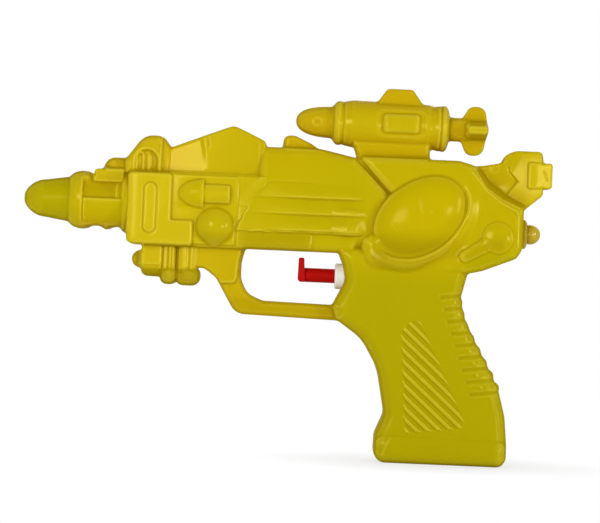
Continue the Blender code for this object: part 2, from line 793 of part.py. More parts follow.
def scope_hollow():
    """The pocket that leaves the scope an even wall."""
    nose = SCOPE_X + SCOPE_NOSE_LENGTH
    rear = nose + 4.4 + SCOPE_TUBE_LENGTH
    profile = [(SCOPE_X + 4.5, 0), (SCOPE_X + 4.5, 2.4), (nose - 3, SCOPE_NOSE_RADIUS - WALL)]
    profile += [(nose + 1, SCOPE_NOSE_RADIUS - WALL), (nose + 5, SCOPE_RADIUS - WALL - 0.4)]
    profile += [(rear - 2, SCOPE_RADIUS - WALL - 0.6), (rear + 1, 0)]
    pocket = turned(profile, (0, 0, SCOPE_Z), steps=SMALL_TURN_STEPS)
    return turn_in_side_view(pocket, SCOPE_TILT, (nose + 4.4 + rear) / 2, SCOPE_Z)


def side_features():
    """Panel, bullet, ball and louvred vent on the body's flank, for the half with positive Y."""
    yield plate(
        [
            (PANEL_X - 2, RAIL_Z + 0.3, 0),
            (OPENING_X - 2.8, RAIL_Z + 0.3, 0.8),
            (OPENING_X - 2.8, SEAM_Z - 0.6, 0.8),
            (PANEL_X - 2, SEAM_Z - 0.6, 0),
        ],
        PANEL_HALF,
        0.6,
    )
    tip = PANEL_X + 2.6
    back = tip + 0.53 * BULLET_LENGTH
    profile = dome(tip, back - tip, BULLET_RADIUS, 2.0)
    profile += [(back + 0.3, BULLET_RADIUS), (back + 0.4, 0.6 * BULLET_RADIUS)]
    profile += [(tip + BULLET_LENGTH, 0.6 * BULLET_RADIUS), (tip + BULLET_LENGTH, 0)]
    bullet = turned(profile, (0, 0, 0), steps=SMALL_TURN_STEPS)
    bullet.data.transform(Matrix.Translation((0, PANEL_HALF - 0.7, 4.6)) @ Matrix.Diagonal((1, 0.62, 1, 1)))
    yield bullet
    ball = (OPENING_X - 11.1, PANEL_HALF - 1.7, -8.3)
    yield ellipsoid(ball, (BALL_RADIUS, 6.1, BALL_RADIUS), around=18, up=10)
    bottom = RAIL_Z + RAIL_HEIGHT
    top = bottom + VENT_BANDS * VENT_PITCH
    profile = [(2.0, top)]
    for band in range(VENT_BANDS):
        for share in (0.0, 0.25, 0.6, 1.0):
            out = RECEIVER_HALF - 0.3 + band * VENT_STEP + VENT_RISE * math.sin(math.pi / 2 * share)
            profile.append((out, top - (band + share) * VENT_PITCH))
    profile.append((2.0, bottom))
    louvres = prism([(OPENING_X - 6, y, z) for y, z in profile], (GRIP_X - OPENING_X + 20, 0, 0))
    face = [
        (OPENING_X - 1.8, bottom - 2, 0),
        (GRIP_X + 3, bottom - 2, 0),
        (GRIP_X + 6.4, bottom + 4, 3),
        (GRIP_X - 1, top + 1, 4),
        (OPENING_X + 9.6, top + 1, 6),
        (OPENING_X + 1.5, bottom + 8, 8),
    ]
    yield common(louvres, plate(face, 30))
    yield plate(
        [
            (GRIP_X - 14, RAIL_Z + 0.6, 0),
            (GRIP_X + 2, RAIL_Z + 0.6, 0),
            (GRIP_X + 2, bottom - 0.4, 0),
            (GRIP_X - 14, bottom - 0.4, 0),
        ],
        RECEIVER_HALF + RAIL_STEP,
        0.4,
    )


def rear_features():
    """Egg, its rim, the spoon and the rear fin, for the half with positive Y."""
    egg_x, _, egg_z = egg_centre()
    yield plate(
        [
            (GRIP_X + 6.6, PUMP_Z + 1.9, 8),
            (REAR_X - 33, PUMP_Z + 1.9, 14),
            (REAR_X - 22.6, PUMP_Z + 14, 10),
            (REAR_X - 20.9, 4, 6),
            (REAR_X - 40, 6, 0),
            (GRIP_X + 7.6, RAIL_Z + 7.2, 2),
        ],
        SKIRT_HALF,
        1.8,
    )
    yield plate(oval(egg_x, egg_z, EGG_LONG + EGG_RIM, EGG_SHORT + EGG_RIM, EGG_TILT), SKIRT_HALF + 0.6, 1.2)
    yield ellipsoid(egg_centre(), egg_radii(0), EGG_TILT, around=24, up=10)
    bowl = (REAR_X - 10.1, HOUSING_HALF - 0.8, FILLER_Z - 2.3)
    yield ellipsoid(bowl, (SPOON_RADIUS, 3.2, SPOON_RADIUS), around=16, up=10)
    yield joined(
        rod((REAR_X - 23, HOUSING_HALF - 0.6, -16), (REAR_X - 11, HOUSING_HALF - 0.4, -9.6), 1.9, steps=12),
        ellipsoid((REAR_X - 23, HOUSING_HALF - 0.6, -16), (1.95, 1.95, 1.95), around=12, up=6),
    )
    fin = [
        (REAR_X - 3, FILLER_Z + 8, 0),
        (REAR_X + 0.3, FILLER_Z + 9.4, 0.6),
        (REAR_X + 7.5, FILLER_Z + 15.6, 1.6),
        (REAR_X + 7.2, HOUSING_Z + 2, 0),
        (REAR_X + 6.6, HOUSING_Z + 5.2, 1.6),
        (REAR_X - 8.2, HOUSING_Z + 5.2, 4.8),
        (REAR_X - 9.4, HOUSING_Z + 0.1, 1),
        (REAR_X - 16, HOUSING_Z - 1.2, 3),
        (REAR_X - 22, HOUSING_Z - 1.8, 0),
        (REAR_X - 20, HOUSING_Z - 12, 0),
    ]
    yield plate(fin, REAR_FIN_HALF, 1.1)
    yield plate(
        [
            (REAR_X + 0.4, FILLER_Z + 9.7, 0.6),
            (REAR_X + 7.2, FILLER_Z + 15.7, 1.5),
            (REAR_X + 6.3, HOUSING_Z + 5.0, 1.5),
            (REAR_X - 7.6, HOUSING_Z + 4.8, 4.4),
            (REAR_X - 6.6, HOUSING_Z - 3.2, 0.5),
            (REAR_X - 2.9, HOUSING_Z - 7, 0.5),
            (REAR_X - 7.4, HOUSING_Z - 12.7, 0.5),
            (REAR_X - 3.4, HOUSING_Z - 15, 0.5),
        ],
        REAR_FIN_HALF + 0.8,
        0.6,
    )
    yield plate(
        [
            (REAR_X + 1.4, HOUSING_Z - 9.7, 1),
            (REAR_X + 10.9, HOUSING_Z - 9.7, 1),
            (REAR_X + 10.9, HOUSING_Z + 0.7, 1),
            (REAR_X + 1.4, HOUSING_Z + 0.7, 1),
        ],
        REAR_BLOCK_HALF,
        1,
    )


def grip_features():
    """Guard bow, grip, butt band, ridged side panel and the ribs down the back."""
    yield plate(guard_outline(), GUARD_HALF, 2.0)
    yield plate(
        [
            (OPENING_X - 18.9, RAIL_Z + 1.5, 0),
            (OPENING_X - 18.9, RAIL_Z - 8.2, 1),
            (OPENING_X - 14.4, RAIL_Z - 8.5, 3),
            (OPENING_X - 10.2, RAIL_Z - 11.6, 2),
            (OPENING_X - 8.2, RAIL_Z - 14.2, 1),
            (OPENING_X - 1.4, RAIL_Z - 14.2, 1.2),
            (OPENING_X - 0.5, RAIL_Z - 5, 4),
            (OPENING_X + 0.9, RAIL_Z + 1.5, 0),
        ],
        POST_HALF,
        0.8,
    )
    yield plate(grip_outline(), GRIP_HALF, 4.0)
    front = BUTT_X - BUTT_DEPTH
    yield plate(
        [
            (front + 0.3, BUTT_Z, 4.2),
            (BUTT_X - 0.1, BUTT_Z, 3.8),
            (BUTT_X - 0.2, BUTT_Z + BUTT_BAND, 3.6),
            (front + 0.4, BUTT_Z + BUTT_BAND, 3.6),
        ],
        BUTT_HALF,
        3.4,
    )
    yield ridged_panel()
    tall = 0.46 * (back_edge(0).y - back_edge(1).y) / BACK_RIBS
    for rib in range(BACK_RIBS):
        middle = back_edge((rib + 0.5) / BACK_RIBS)
        yield plate(
            [
                (middle.x - BACK_RIB_LENGTH, middle.y - tall, tall * 0.9),
                (middle.x + BACK_RIB_STAND, middle.y - tall, tall * 0.9),
                (middle.x + BACK_RIB_STAND, middle.y + tall, tall * 0.9),
                (middle.x - BACK_RIB_LENGTH, middle.y + tall, tall * 0.9),
            ],
            GRIP_HALF - 0.6,
            1.2,
        )


def ridged_panel():
    """Slanting ridges trimmed to the grip's side panel."""
    low, high = BUTT_Z + 12.5, PUMP_Z - 15.6
    panel = [
        (GRIP_X + 26, low - 0.6, 1),
        (BUTT_X - 17.9, low + 2, 2),
        (BUTT_X - 17.1, low + 6.4, 2),
        (GRIP_X + 39, high - 14, 12),
        (GRIP_X + 32, high - 0.4, 2),
        (GRIP_X + 27, high, 2),
        (GRIP_X + 23, high - 5, 2),
    ]
    along = Vector((math.cos(math.radians(RIDGE_ANGLE)), 0, math.sin(math.radians(RIDGE_ANGLE))))
    across = Vector((-along.z, 0, along.x))
    middle = Vector((GRIP_X + 36, 0, (low + high) / 2))
    count = 16
    profile = [Vector((0, 2.0, 0)) - across * RIDGE_PITCH * count / 2]
    for ridge in range(count):
        for share, height in ((0.02, -0.4), (0.25, RIDGE_HEIGHT), (0.6, RIDGE_HEIGHT), (0.85, -0.4)):
            offset = across * RIDGE_PITCH * (ridge + share - count / 2)
            profile.append(Vector((0, GRIP_HALF + height, 0)) + offset)
    profile.append(Vector((0, 2.0, 0)) + across * RIDGE_PITCH * count / 2)
    ridges = prism([middle - along * 45 + p for p in profile], along * 90)
    return common(ridges, plate(panel, 30))


# Pump stations, all following from the grip's front wall.
SEAT_X = GRIP_X + WALL
GASKET_X = SEAT_X + FIT
GLAND_X = GASKET_X + GASKET_THICKNESS + FIT
CYLINDER_X = GLAND_X + FLANGE_THICKNESS + FIT
CYLINDER_END_X = CYLINDER_X + CYLINDER_LENGTH
CYLINDER_RADIUS = BORE_RADIUS + CYLINDER_WALL
PISTON_X = CYLINDER_X + PISTON_DELAY
PISTON_END_X = PISTON_X + PISTON_LENGTH
SPRING_END_X = CYLINDER_END_X - END_THICKNESS
VALVE_X = CYLINDER_END_X - VALVE_BACK
ROOF = BORE_RADIUS + 2.4
SIT = math.sqrt(VALVE_BALL**2 - PORT_RADIUS**2)
INLET_SEAT_Z = PUMP_Z - ROOF - BALL_LIFT - VALVE_BALL - SIT - FIT / 2
INLET_END_Z = INLET_SEAT_Z - 3.6
OUTLET_SEAT_Z = PUMP_Z + ROOF
OUTLET_STOP_Z = OUTLET_SEAT_Z + SIT + VALVE_BALL + BALL_LIFT + FIT / 2
OUTLET_END_Z = OUTLET_STOP_Z + 3.4
INTAKE_TOP_Z = INLET_END_Z - FITTING_FLANGE - 2 * FIT
OUTLET_FOOT_Z = OUTLET_END_Z + FITTING_FLANGE + 2 * FIT
TRIGGER_X = GRIP_X - TRIGGER_REACH
JET_FLANGE_X = 8.0
JET_FLANGE = 2.0
JET_FLANGE_RADIUS = 4.2
JET_RADIUS = 1.9
FILLER_SEAT_X = REAR_X - WALL
RUN_Z = SEAM_Z - 6.9
PINS = (
    (BLOCK_X + 11, RAIL_Z + 5.5),
    (OPENING_X + 20, DECK_Z - 8),
    (REAR_X - 28.4, HOUSING_Z - 8),
    (REAR_X - 12.4, RAIL_Z + 3.4),
    (BUTT_X - 12, BUTT_Z + 10),
    (BUTT_X - 44, BUTT_Z + 9),
)
CRADLES = (CYLINDER_X + 9.0, CYLINDER_X + 15.5)
CRADLE_WIDTH = 2.0


def outlet_run():
    """The outlet hose's path, from the pump's top valve forward to the jet."""
    return [
        (VALVE_X, OUTLET_FOOT_Z, 0),
        (VALVE_X, RUN_Z, TUBE_BEND),
        (OPENING_X + 32, RUN_Z, 40),
        (BLOCK_X + 28, BARREL_Z, 40),
        (JET_FLANGE_X + JET_FLANGE + FIT, BARREL_Z, 0),
    ]


def intake_run():
    """The intake hose's path, from the pump's lower valve down to the butt."""
    return [
        (VALVE_X, INTAKE_TOP_Z, 0),
        (VALVE_X, INTAKE_TOP_Z - 9, 16),
        (VALVE_X + 9, INTAKE_TOP_Z - 0.62 * TUBE_DROP, 30),
        (VALVE_X + 12, INTAKE_TOP_Z - TUBE_DROP, 0),
    ]


def hollow():
    """The tank inside both halves, less the ribs and bosses that stand in it."""
    tank = joined(
        plate(inset(core_outline(), WALL), CORE_HALF - WALL, 0.8),
        plate(inset(grip_outline(), WALL + 0.3), GRIP_HALF - WALL, 2.4),
        plate(inset(fin_outline(SEAM_Z - 8), WALL + 0.2), FIN_HALF - FIN_LEAN - WALL),
        plate(inset(receiver_outline(), WALL + 1.0), RECEIVER_HALF - WALL),
        plate(inset(housing_outline(), WALL + 1.0), HOUSING_HALF - WALL),
        plate(inset(block_outline(PANEL_X), WALL + 0.4), BLOCK_HALF - WALL),
        ellipsoid(egg_centre(), egg_radii(-WALL), EGG_TILT, around=16, up=8),
        turned(
            [
                (JET_FLANGE_X + JET_FLANGE + 4, 0),
                (JET_FLANGE_X + JET_FLANGE + 4, BARREL_BORE - 1.6),
                (JET_FLANGE_X + JET_FLANGE + 8, BARREL_BORE),
                (BLOCK_X + 8, BARREL_BORE),
                (BLOCK_X + 8, 0),
            ],
            (0, 0, BARREL_Z),
        ),
    )
    stands = [
        box((x, -40, PUMP_Z - 9.5), (x + CRADLE_WIDTH, 40, PUMP_Z + 9.5))
        for x in CRADLES
    ]
    stop = CYLINDER_END_X + FIT
    stands.append(box((stop, -40, PUMP_Z - 7.5), (stop + CRADLE_WIDTH, 40, PUMP_Z + 5.5)))
    for x, z in ((GRIP_X + 8, RUN_Z), (BLOCK_X + 22, BARREL_Z)):
        stands.append(box((x, -40, z - 5), (x + CRADLE_WIDTH, 40, z + 5)))
    for x, z in PINS:
        stands.append(rod((x, -40, z), (x, 40, z), PIN_BOSS, steps=10))
    return cut(tank, *stands)


def seats():
    """Cutters that clear a seat in the halves for each piece they hold."""
    jet_back = JET_FLANGE_X + JET_FLANGE
    jet_seat = JET_FLANGE_X - SEAL_THICKNESS - 2 * FIT
    yield turned(
        [
            (-3, 0),
            (-3, JET_RADIUS + FIT),
            (jet_seat, JET_RADIUS + FIT),
            (jet_seat, JET_FLANGE_RADIUS + FIT),
            (jet_back + FIT, JET_FLANGE_RADIUS + FIT),
            (jet_back + FIT, TUBE_RADIUS + FIT),
            (jet_back + 6, TUBE_RADIUS + FIT),
            (jet_back + 6, 0),
        ],
        (0, 0, BARREL_Z),
        steps=SMALL_TURN_STEPS,
    )
    yield rod((GRIP_X - 12, 0, PUMP_Z), (GRIP_X + 8, 0, PUMP_Z), COLLAR_RADIUS + FIT)
    yield rod((SEAT_X, 0, PUMP_Z), (CYLINDER_X + SKIRT_LENGTH + 1, 0, PUMP_Z), FLANGE_RADIUS + FIT)
    yield rod((CYLINDER_X, 0, PUMP_Z), (CYLINDER_END_X + FIT / 2, 0, PUMP_Z), CYLINDER_RADIUS + FIT)
    yield rod((BLOCK_X + 20, 0, BARREL_Z), (BLOCK_X + 26, 0, BARREL_Z), TUBE_RADIUS + FIT)
    yield rod((GRIP_X + 4, 0, RUN_Z), (GRIP_X + 14, 0, RUN_Z), TUBE_RADIUS + FIT)
    yield rod((FILLER_SEAT_X - 3, 0, FILLER_Z), (REAR_X + 3, 0, FILLER_Z), NECK_OUTER + FIT)
    yield rod((FILLER_SEAT_X - 8, 0, FILLER_Z), (FILLER_SEAT_X, 0, FILLER_Z), NECK_FLANGE + FIT)
    yield rod((REAR_X, 0, FILLER_Z), (REAR_X + 6, 0, FILLER_Z), NECK_FLANGE + FIT)


def half_shell():
    """One moulded half, on the positive side of the parting plane."""
    features = [
        plate(core_outline(), CORE_HALF, 1.0),
        plate(receiver_outline(), RECEIVER_HALF, 1.6),
        plate(housing_outline(), HOUSING_HALF, 1.6),
    ]
    for group in (front_features, top_features, side_features, rear_features, grip_features):
        features += list(group())
    shell = joined(*features)
    shell = cut(shell, hollow(), scope_hollow(), *seats())
    return cut(shell, box((-60, -90, -160), (280, 0, 120)))


def shells():
    """Both halves: the left one carries the locating pins, the right one their sockets."""
    right = half_shell()
    left = mirrored(right)
    pins = [rod((x, -3, z), (x, PIN_REACH, z), PIN_RADIUS, steps=8) for x, z in PINS]
    sockets = [rod((x, -1, z), (x, PIN_REACH + 2 * FIT, z), PIN_RADIUS + FIT, steps=8) for x, z in PINS]
    publish(joined(left, *pins), "left_shell", YELLOW)
    publish(cut(right, *sockets), "right_shell", YELLOW)


def jet_and_filler():
    """The nozzle insert, and the filler's neck and stopper."""
    back = JET_FLANGE_X + JET_FLANGE
    jet = [
        (0.3, JET_RADIUS - 0.3),
        (0.7, JET_RADIUS),
        (JET_FLANGE_X, JET_RADIUS),
        (JET_FLANGE_X, JET_FLANGE_RADIUS),
        (back, JET_FLANGE_RADIUS),
        (back, BARB_RADIUS - 0.3),
        (back + BARB_LENGTH - 2, BARB_RADIUS - 0.3),
        (back + BARB_LENGTH - 2, BARB_RADIUS),
        (back + BARB_LENGTH, BARB_RADIUS - 0.4),
        (back + BARB_LENGTH, 0.8),
        (3.2, 0.8),
        (2.2, 0.5),
        (0.3, 0.5),
    ]
    at = (0, 0, BARREL_Z)
    publish(turned(jet, at, ring=True, steps=SMALL_TURN_STEPS), "nozzle_jet", NATURAL, at)
    seal = JET_FLANGE_X - FIT
    ring = [
        (seal - SEAL_THICKNESS, JET_RADIUS + SLIDE),
        (seal - SEAL_THICKNESS, JET_FLANGE_RADIUS),
        (seal, JET_FLANGE_RADIUS),
        (seal, JET_RADIUS + SLIDE),
    ]
    publish(turned(ring, at, ring=True, steps=SMALL_TURN_STEPS), "jet_seal", RUBBER, at)
    washer = FILLER_SEAT_X - FIT - SEAL_THICKNESS
    ring = [
        (washer, NECK_OUTER + SLIDE),
        (washer, NECK_FLANGE),
        (washer + SEAL_THICKNESS, NECK_FLANGE),
        (washer + SEAL_THICKNESS, NECK_OUTER + SLIDE),
    ]
    at = (REAR_X, 0, FILLER_Z)
    publish(turned(ring, (0, 0, FILLER_Z), ring=True), "neck_gasket", RUBBER, at)
    inner = washer - FIT - 1.8
    outer = REAR_X + FIT
    neck = [
        (inner, NECK_FLANGE),
        (inner + 1.8, NECK_FLANGE),
        (inner + 1.8, NECK_OUTER),
        (outer, NECK_OUTER),
        (outer, NECK_FLANGE),
        (outer + 1.0, NECK_FLANGE),
        (outer + 1.6, NECK_FLANGE - 0.6),
        (outer + 1.9, NECK_BORE + 0.6),
        (outer + 0.7, NECK_BORE),
        (inner, NECK_BORE),
    ]
    publish(turned(neck, (0, 0, FILLER_Z), ring=True), "filler_neck", YELLOW, at)
    stem = NECK_BORE - SLIDE
    knob_x = outer + 3.2
    start = math.asin((stem - 0.9) / PLUG_KNOB)
    plug = [(inner - 1.2, 0), (inner - 1.2, stem - 0.8), (inner + 0.2, stem), (outer + 0.2, stem)]
    plug += [(outer + 0.4, stem - 0.9)]
    for step in range(1, 9):
        angle = math.pi - start - (math.pi - start) * step / 8
        plug.append((knob_x + PLUG_KNOB * math.cos(angle), PLUG_KNOB * math.sin(angle) if step < 8 else 0))
    publish(turned(plug, (0, 0, FILLER_Z)), "filler_plug", YELLOW, at)


def trigger():
    """Finger pad and round stem, one red moulding, with a spigot for the piston."""
    low = PUMP_Z - STEM_RADIUS
    pad = plate(
        [
            (TRIGGER_X - 0.2, low, 1.5),
            (TRIGGER_X + PAD_THICKNESS + 1, low, 0),
            (TRIGGER_X + PAD_THICKNESS + 0.4, low + PAD_HEIGHT, 0.7),
            (TRIGGER_X, low + PAD_HEIGHT, 0.7),
        ],
        PAD_HALF,
        0.6,
    )
    end = PISTON_X - FIT
    stem = [
        (TRIGGER_X + 0.9, 0),
        (TRIGGER_X + 0.9, STEM_RADIUS),
        (end, STEM_RADIUS),
        (end, 1.5),
        (end + 3.0, 1.5),
        (end + 3.3, 1.1),
        (end + 3.3, 0),
    ]
    publish(
        joined(pad, turned(stem, (0, 0, PUMP_Z), steps=18)), "trigger", RED, (TRIGGER_X, 0, PUMP_Z)
    )


def plunger():
    """Piston, its sealing ring and the return spring behind it."""
    slack = BORE_RADIUS - SLIDE
    groove_x, groove = PISTON_X + 1.6, 1.9
    piston = [
        (PISTON_X, 1.5 + SLIDE),
        (PISTON_X, slack),
        (groove_x, slack),
        (groove_x, slack - 1.2),
        (groove_x + groove, slack - 1.2),
        (groove_x + groove, slack),
        (PISTON_END_X, slack),
        (PISTON_END_X, SPRING_RADIUS - SPRING_WIRE - 0.5),
        (PISTON_END_X + 2.4, SPRING_RADIUS - SPRING_WIRE - 0.8),
        (PISTON_END_X + 2.4, 0),
        (PISTON_X + 3.3, 0),
        (PISTON_X + 3.3, 1.5 + SLIDE),
    ]
    at = (PISTON_X, 0, PUMP_Z)
    publish(turned(piston, (0, 0, PUMP_Z), ring=True, steps=18), "piston", NATURAL, at)
    inner = slack - 1.2 + SLIDE
    ring = [
        (groove_x + SLIDE, inner),
        (groove_x + SLIDE, BORE_RADIUS - 0.35),
        (groove_x + groove / 2, BORE_RADIUS - 0.15),
        (groove_x + groove - SLIDE, BORE_RADIUS - 0.35),
        (groove_x + groove - SLIDE, inner),
    ]
    publish(turned(ring, (0, 0, PUMP_Z), ring=True, steps=18), "piston_ring", RUBBER, at)
    publish(return_spring(), "return_spring", STEEL, (SPRING_END_X, 0, PUMP_Z))


def return_spring():
    """A round wire wound as one unbroken coil between piston and cylinder end."""
    start = PISTON_END_X + FIT + SPRING_WIRE
    length = SPRING_END_X - FIT - SPRING_WIRE - start
    per_turn = 9
    count = round(SPRING_TURNS * per_turn)
    curve = bpy.data.curves.new("return_spring", "CURVE")
    curve.dimensions = "3D"
    curve.bevel_depth = SPRING_WIRE
    curve.bevel_resolution = 1
    curve.use_fill_caps = True
    spline = curve.splines.new("POLY")
    spline.points.add(count)
    points = []
    for step in range(count + 1):
        angle = math.tau * step / per_turn
        x = start + length * step / count
        points.append(Vector((x, SPRING_RADIUS * math.sin(angle), PUMP_Z + SPRING_RADIUS * math.cos(angle))))
        spline.points[step].co = (*points[-1], 1)
    apart = min(
        (points[i] - points[j]).length
        for i in range(count + 1)
        for j in range(i + per_turn // 2, count + 1)
    )
    print(f"return_spring: least gap between curls {apart - 2 * SPRING_WIRE:.2f} mm")
    coil = bpy.data.objects.new("return_spring", curve)
    bpy.context.scene.collection.objects.link(coil)
    graph = bpy.context.evaluated_depsgraph_get()
    mesh = bpy.data.meshes.new_from_object(coil.evaluated_get(graph))
    bpy.data.objects.remove(coil)
    mesh_builder = bmesh.new()
    mesh_builder.from_mesh(mesh)
    return object_of(mesh_builder)


def pump():
    """Cylinder with its two valve towers, the gland that closes its front and their seals."""
    start, end = CYLINDER_X, CYLINDER_END_X
    barrel = [
        (start, BORE_RADIUS),
        (start, CYLINDER_RADIUS),
        (end, CYLINDER_RADIUS),
        (end, 0),
        (end - END_THICKNESS, 0),
        (end - END_THICKNESS, BORE_RADIUS),
    ]
    at = (0, 0, PUMP_Z)
    towers = rod((VALVE_X, 0, INLET_END_Z), (VALVE_X, 0, OUTLET_END_Z), VALVE_RADIUS)
    bore = rod((start - 2, 0, PUMP_Z), (end - END_THICKNESS, 0, PUMP_Z), BORE_RADIUS, steps=18)
    inlet = rod((VALVE_X, 0, INLET_END_Z - 3), (VALVE_X, 0, PUMP_Z - ROOF), CHAMBER_RADIUS)
    outlet = rod((VALVE_X, 0, OUTLET_SEAT_Z), (VALVE_X, 0, OUTLET_END_Z + 3), CHAMBER_RADIUS)
    slot = box((VALVE_X - 2.3, -0.8, PUMP_Z - ROOF - 0.4), (VALVE_X + 2.3, 0.8, PUMP_Z - 2))
    port = rod((VALVE_X, 0, PUMP_Z + 2), (VALVE_X, 0, OUTLET_SEAT_Z + 0.4), PORT_RADIUS, steps=14)
    body = joined(turned(barrel, at, ring=True, steps=18), towers)
    publish(cut(body, bore, inlet, outlet, slot, port), "pump_cylinder", NATURAL, (start, 0, PUMP_Z))

    skirt = CYLINDER_RADIUS + FIT
    gland = [
        (GRIP_X - COLLAR_REACH, STEM_RADIUS + SLIDE),
        (GRIP_X - COLLAR_REACH, COLLAR_RADIUS - 0.4),
        (GRIP_X - COLLAR_REACH + 0.5, COLLAR_RADIUS),
        (GLAND_X, COLLAR_RADIUS),
        (GLAND_X, FLANGE_RADIUS),
        (start + SKIRT_LENGTH, FLANGE_RADIUS),
        (start + SKIRT_LENGTH, skirt),
        (start - FIT, skirt),
        (start - FIT, STEM_RADIUS + 1.5),
        (GLAND_X + 0.5, STEM_RADIUS + 1.5),
        (GLAND_X + 0.5, STEM_RADIUS + SLIDE),
    ]
    publish(turned(gland, at, ring=True, steps=18), "pump_gland", NATURAL, (GLAND_X, 0, PUMP_Z))
    for name, first, last, inner, outer in (
        ("gland_seal", GLAND_X + 0.7, start - FIT, STEM_RADIUS + SLIDE, STEM_RADIUS + 1.3),
        ("wall_gasket", GASKET_X, GASKET_X + GASKET_THICKNESS, COLLAR_RADIUS + SLIDE, FLANGE_RADIUS - 0.2),
    ):
        ring = [(first, inner), (first, outer), (last, outer), (last, inner)]
        publish(turned(ring, at, ring=True, steps=18), name, RUBBER, (first, 0, PUMP_Z))


def valves():
    """The two ball valves: a barbed fitting and a ball at each end of the towers."""
    spigot = CHAMBER_RADIUS - SLIDE
    flange_z = INLET_END_Z - FIT
    inlet = [
        (INLET_SEAT_Z, PORT_RADIUS),
        (INLET_SEAT_Z, spigot),
        (flange_z, spigot),
        (flange_z, VALVE_RADIUS),
        (flange_z - FITTING_FLANGE, VALVE_RADIUS),
        (flange_z - FITTING_FLANGE, BARB_RADIUS - 0.3),
        (flange_z - FITTING_FLANGE - BARB_LENGTH + 2, BARB_RADIUS - 0.3),
        (flange_z - FITTING_FLANGE - BARB_LENGTH + 2, BARB_RADIUS),
        (flange_z - FITTING_FLANGE - BARB_LENGTH, BARB_RADIUS - 0.4),
        (flange_z - FITTING_FLANGE - BARB_LENGTH, 0.7),
        (flange_z, 0.7),
    ]
    up = (0, 0, 1)
    at = (VALVE_X, 0, 0)
    publish(
        turned(inlet, at, up, ring=True, steps=SMALL_TURN_STEPS),
        "inlet_fitting",
        NATURAL,
        (VALVE_X, 0, INLET_SEAT_Z),
    )
    flange_z = OUTLET_END_Z + FIT
    outlet = [
        (OUTLET_STOP_Z, 0.7),
        (OUTLET_STOP_Z, spigot),
        (flange_z, spigot),
        (flange_z, VALVE_RADIUS),
        (flange_z + FITTING_FLANGE, VALVE_RADIUS),
        (flange_z + FITTING_FLANGE, BARB_RADIUS - 0.3),
        (flange_z + FITTING_FLANGE + BARB_LENGTH - 2, BARB_RADIUS - 0.3),
        (flange_z + FITTING_FLANGE + BARB_LENGTH - 2, BARB_RADIUS),
        (flange_z + FITTING_FLANGE + BARB_LENGTH, BARB_RADIUS - 0.4),
        (flange_z + FITTING_FLANGE + BARB_LENGTH, 0.7),
    ]
    slot = box((VALVE_X - 6, -0.5, OUTLET_STOP_Z - 2), (VALVE_X + 6, 0.5, OUTLET_STOP_Z + 1.2))
    publish(
        cut(turned(outlet, at, up, ring=True, steps=SMALL_TURN_STEPS), slot),
        "outlet_fitting",
        NATURAL,
        (VALVE_X, 0, OUTLET_STOP_Z),
    )
    for name, seat in (("inlet_ball", INLET_SEAT_Z), ("outlet_ball", OUTLET_SEAT_Z)):
        middle = (VALVE_X, 0, seat + SIT + FIT / 2)
        publish(ellipsoid(middle, (VALVE_BALL,) * 3, around=16, up=10), name, STEEL, middle)


def tubes():
    """The clear hoses between valves, jet and the bottom of the grip."""
    outlet = hollow_tube(outlet_run(), TUBE_RADIUS, TUBE_BORE)
    publish(outlet, "outlet_tube", CLEAR, (VALVE_X, 0, OUTLET_FOOT_Z))
    intake = hollow_tube(intake_run(), TUBE_RADIUS, TUBE_BORE)
    publish(intake, "intake_tube", CLEAR, (VALVE_X, 0, INTAKE_TOP_Z))


def main():
    for leftover in list(bpy.data.objects):
        bpy.data.objects.remove(leftover)
    frame = bpy.data.objects.new("squirter", None)
    frame.location = -Vector(GRIP_CENTRE) * MM
    bpy.context.scene.collection.objects.link(frame)
    shells()
    jet_and_filler()
    trigger()
    plunger()
    pump()
    valves()
    tubes()


main()
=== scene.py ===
"""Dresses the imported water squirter: moulded yellow halves, red trigger, plug, pump parts and studio.

The side drawing is in millimetres: a station runs back from the muzzle, a level up from the barrel's axis,
and out is the distance from the parting plane. Each moulded half is a relief: out as a function of station
and level, worked out from the features of the sub-assemblies and laid on a fine triangle mesh.
"""

import logging
import math
from abc import ABC, abstractmethod
from dataclasses import dataclass
from enum import Enum
from typing import Callable, Optional, Sequence, Union

import bpy
import numpy as np
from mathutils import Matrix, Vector, geometry

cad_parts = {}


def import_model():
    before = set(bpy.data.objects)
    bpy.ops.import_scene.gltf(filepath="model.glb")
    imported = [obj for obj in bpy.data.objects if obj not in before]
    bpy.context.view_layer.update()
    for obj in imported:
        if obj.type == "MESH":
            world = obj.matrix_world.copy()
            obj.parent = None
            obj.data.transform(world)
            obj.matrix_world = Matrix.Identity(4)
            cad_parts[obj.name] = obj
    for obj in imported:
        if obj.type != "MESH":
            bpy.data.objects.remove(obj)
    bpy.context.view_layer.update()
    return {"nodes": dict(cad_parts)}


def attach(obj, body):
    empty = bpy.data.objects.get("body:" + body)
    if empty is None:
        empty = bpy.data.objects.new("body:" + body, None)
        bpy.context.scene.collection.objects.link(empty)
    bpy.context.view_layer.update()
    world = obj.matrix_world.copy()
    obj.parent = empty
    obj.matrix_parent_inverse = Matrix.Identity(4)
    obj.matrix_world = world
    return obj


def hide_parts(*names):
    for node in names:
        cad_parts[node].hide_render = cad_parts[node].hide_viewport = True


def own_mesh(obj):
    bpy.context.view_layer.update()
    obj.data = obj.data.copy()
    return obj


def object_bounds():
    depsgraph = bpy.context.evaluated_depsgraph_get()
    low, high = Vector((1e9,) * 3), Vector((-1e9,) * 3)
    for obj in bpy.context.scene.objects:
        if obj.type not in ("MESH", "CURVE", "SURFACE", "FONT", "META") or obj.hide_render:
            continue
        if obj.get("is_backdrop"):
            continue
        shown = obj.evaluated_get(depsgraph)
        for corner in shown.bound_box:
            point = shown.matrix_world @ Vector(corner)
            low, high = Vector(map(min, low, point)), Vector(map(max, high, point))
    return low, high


LOG = logging.getLogger("water_squirter")

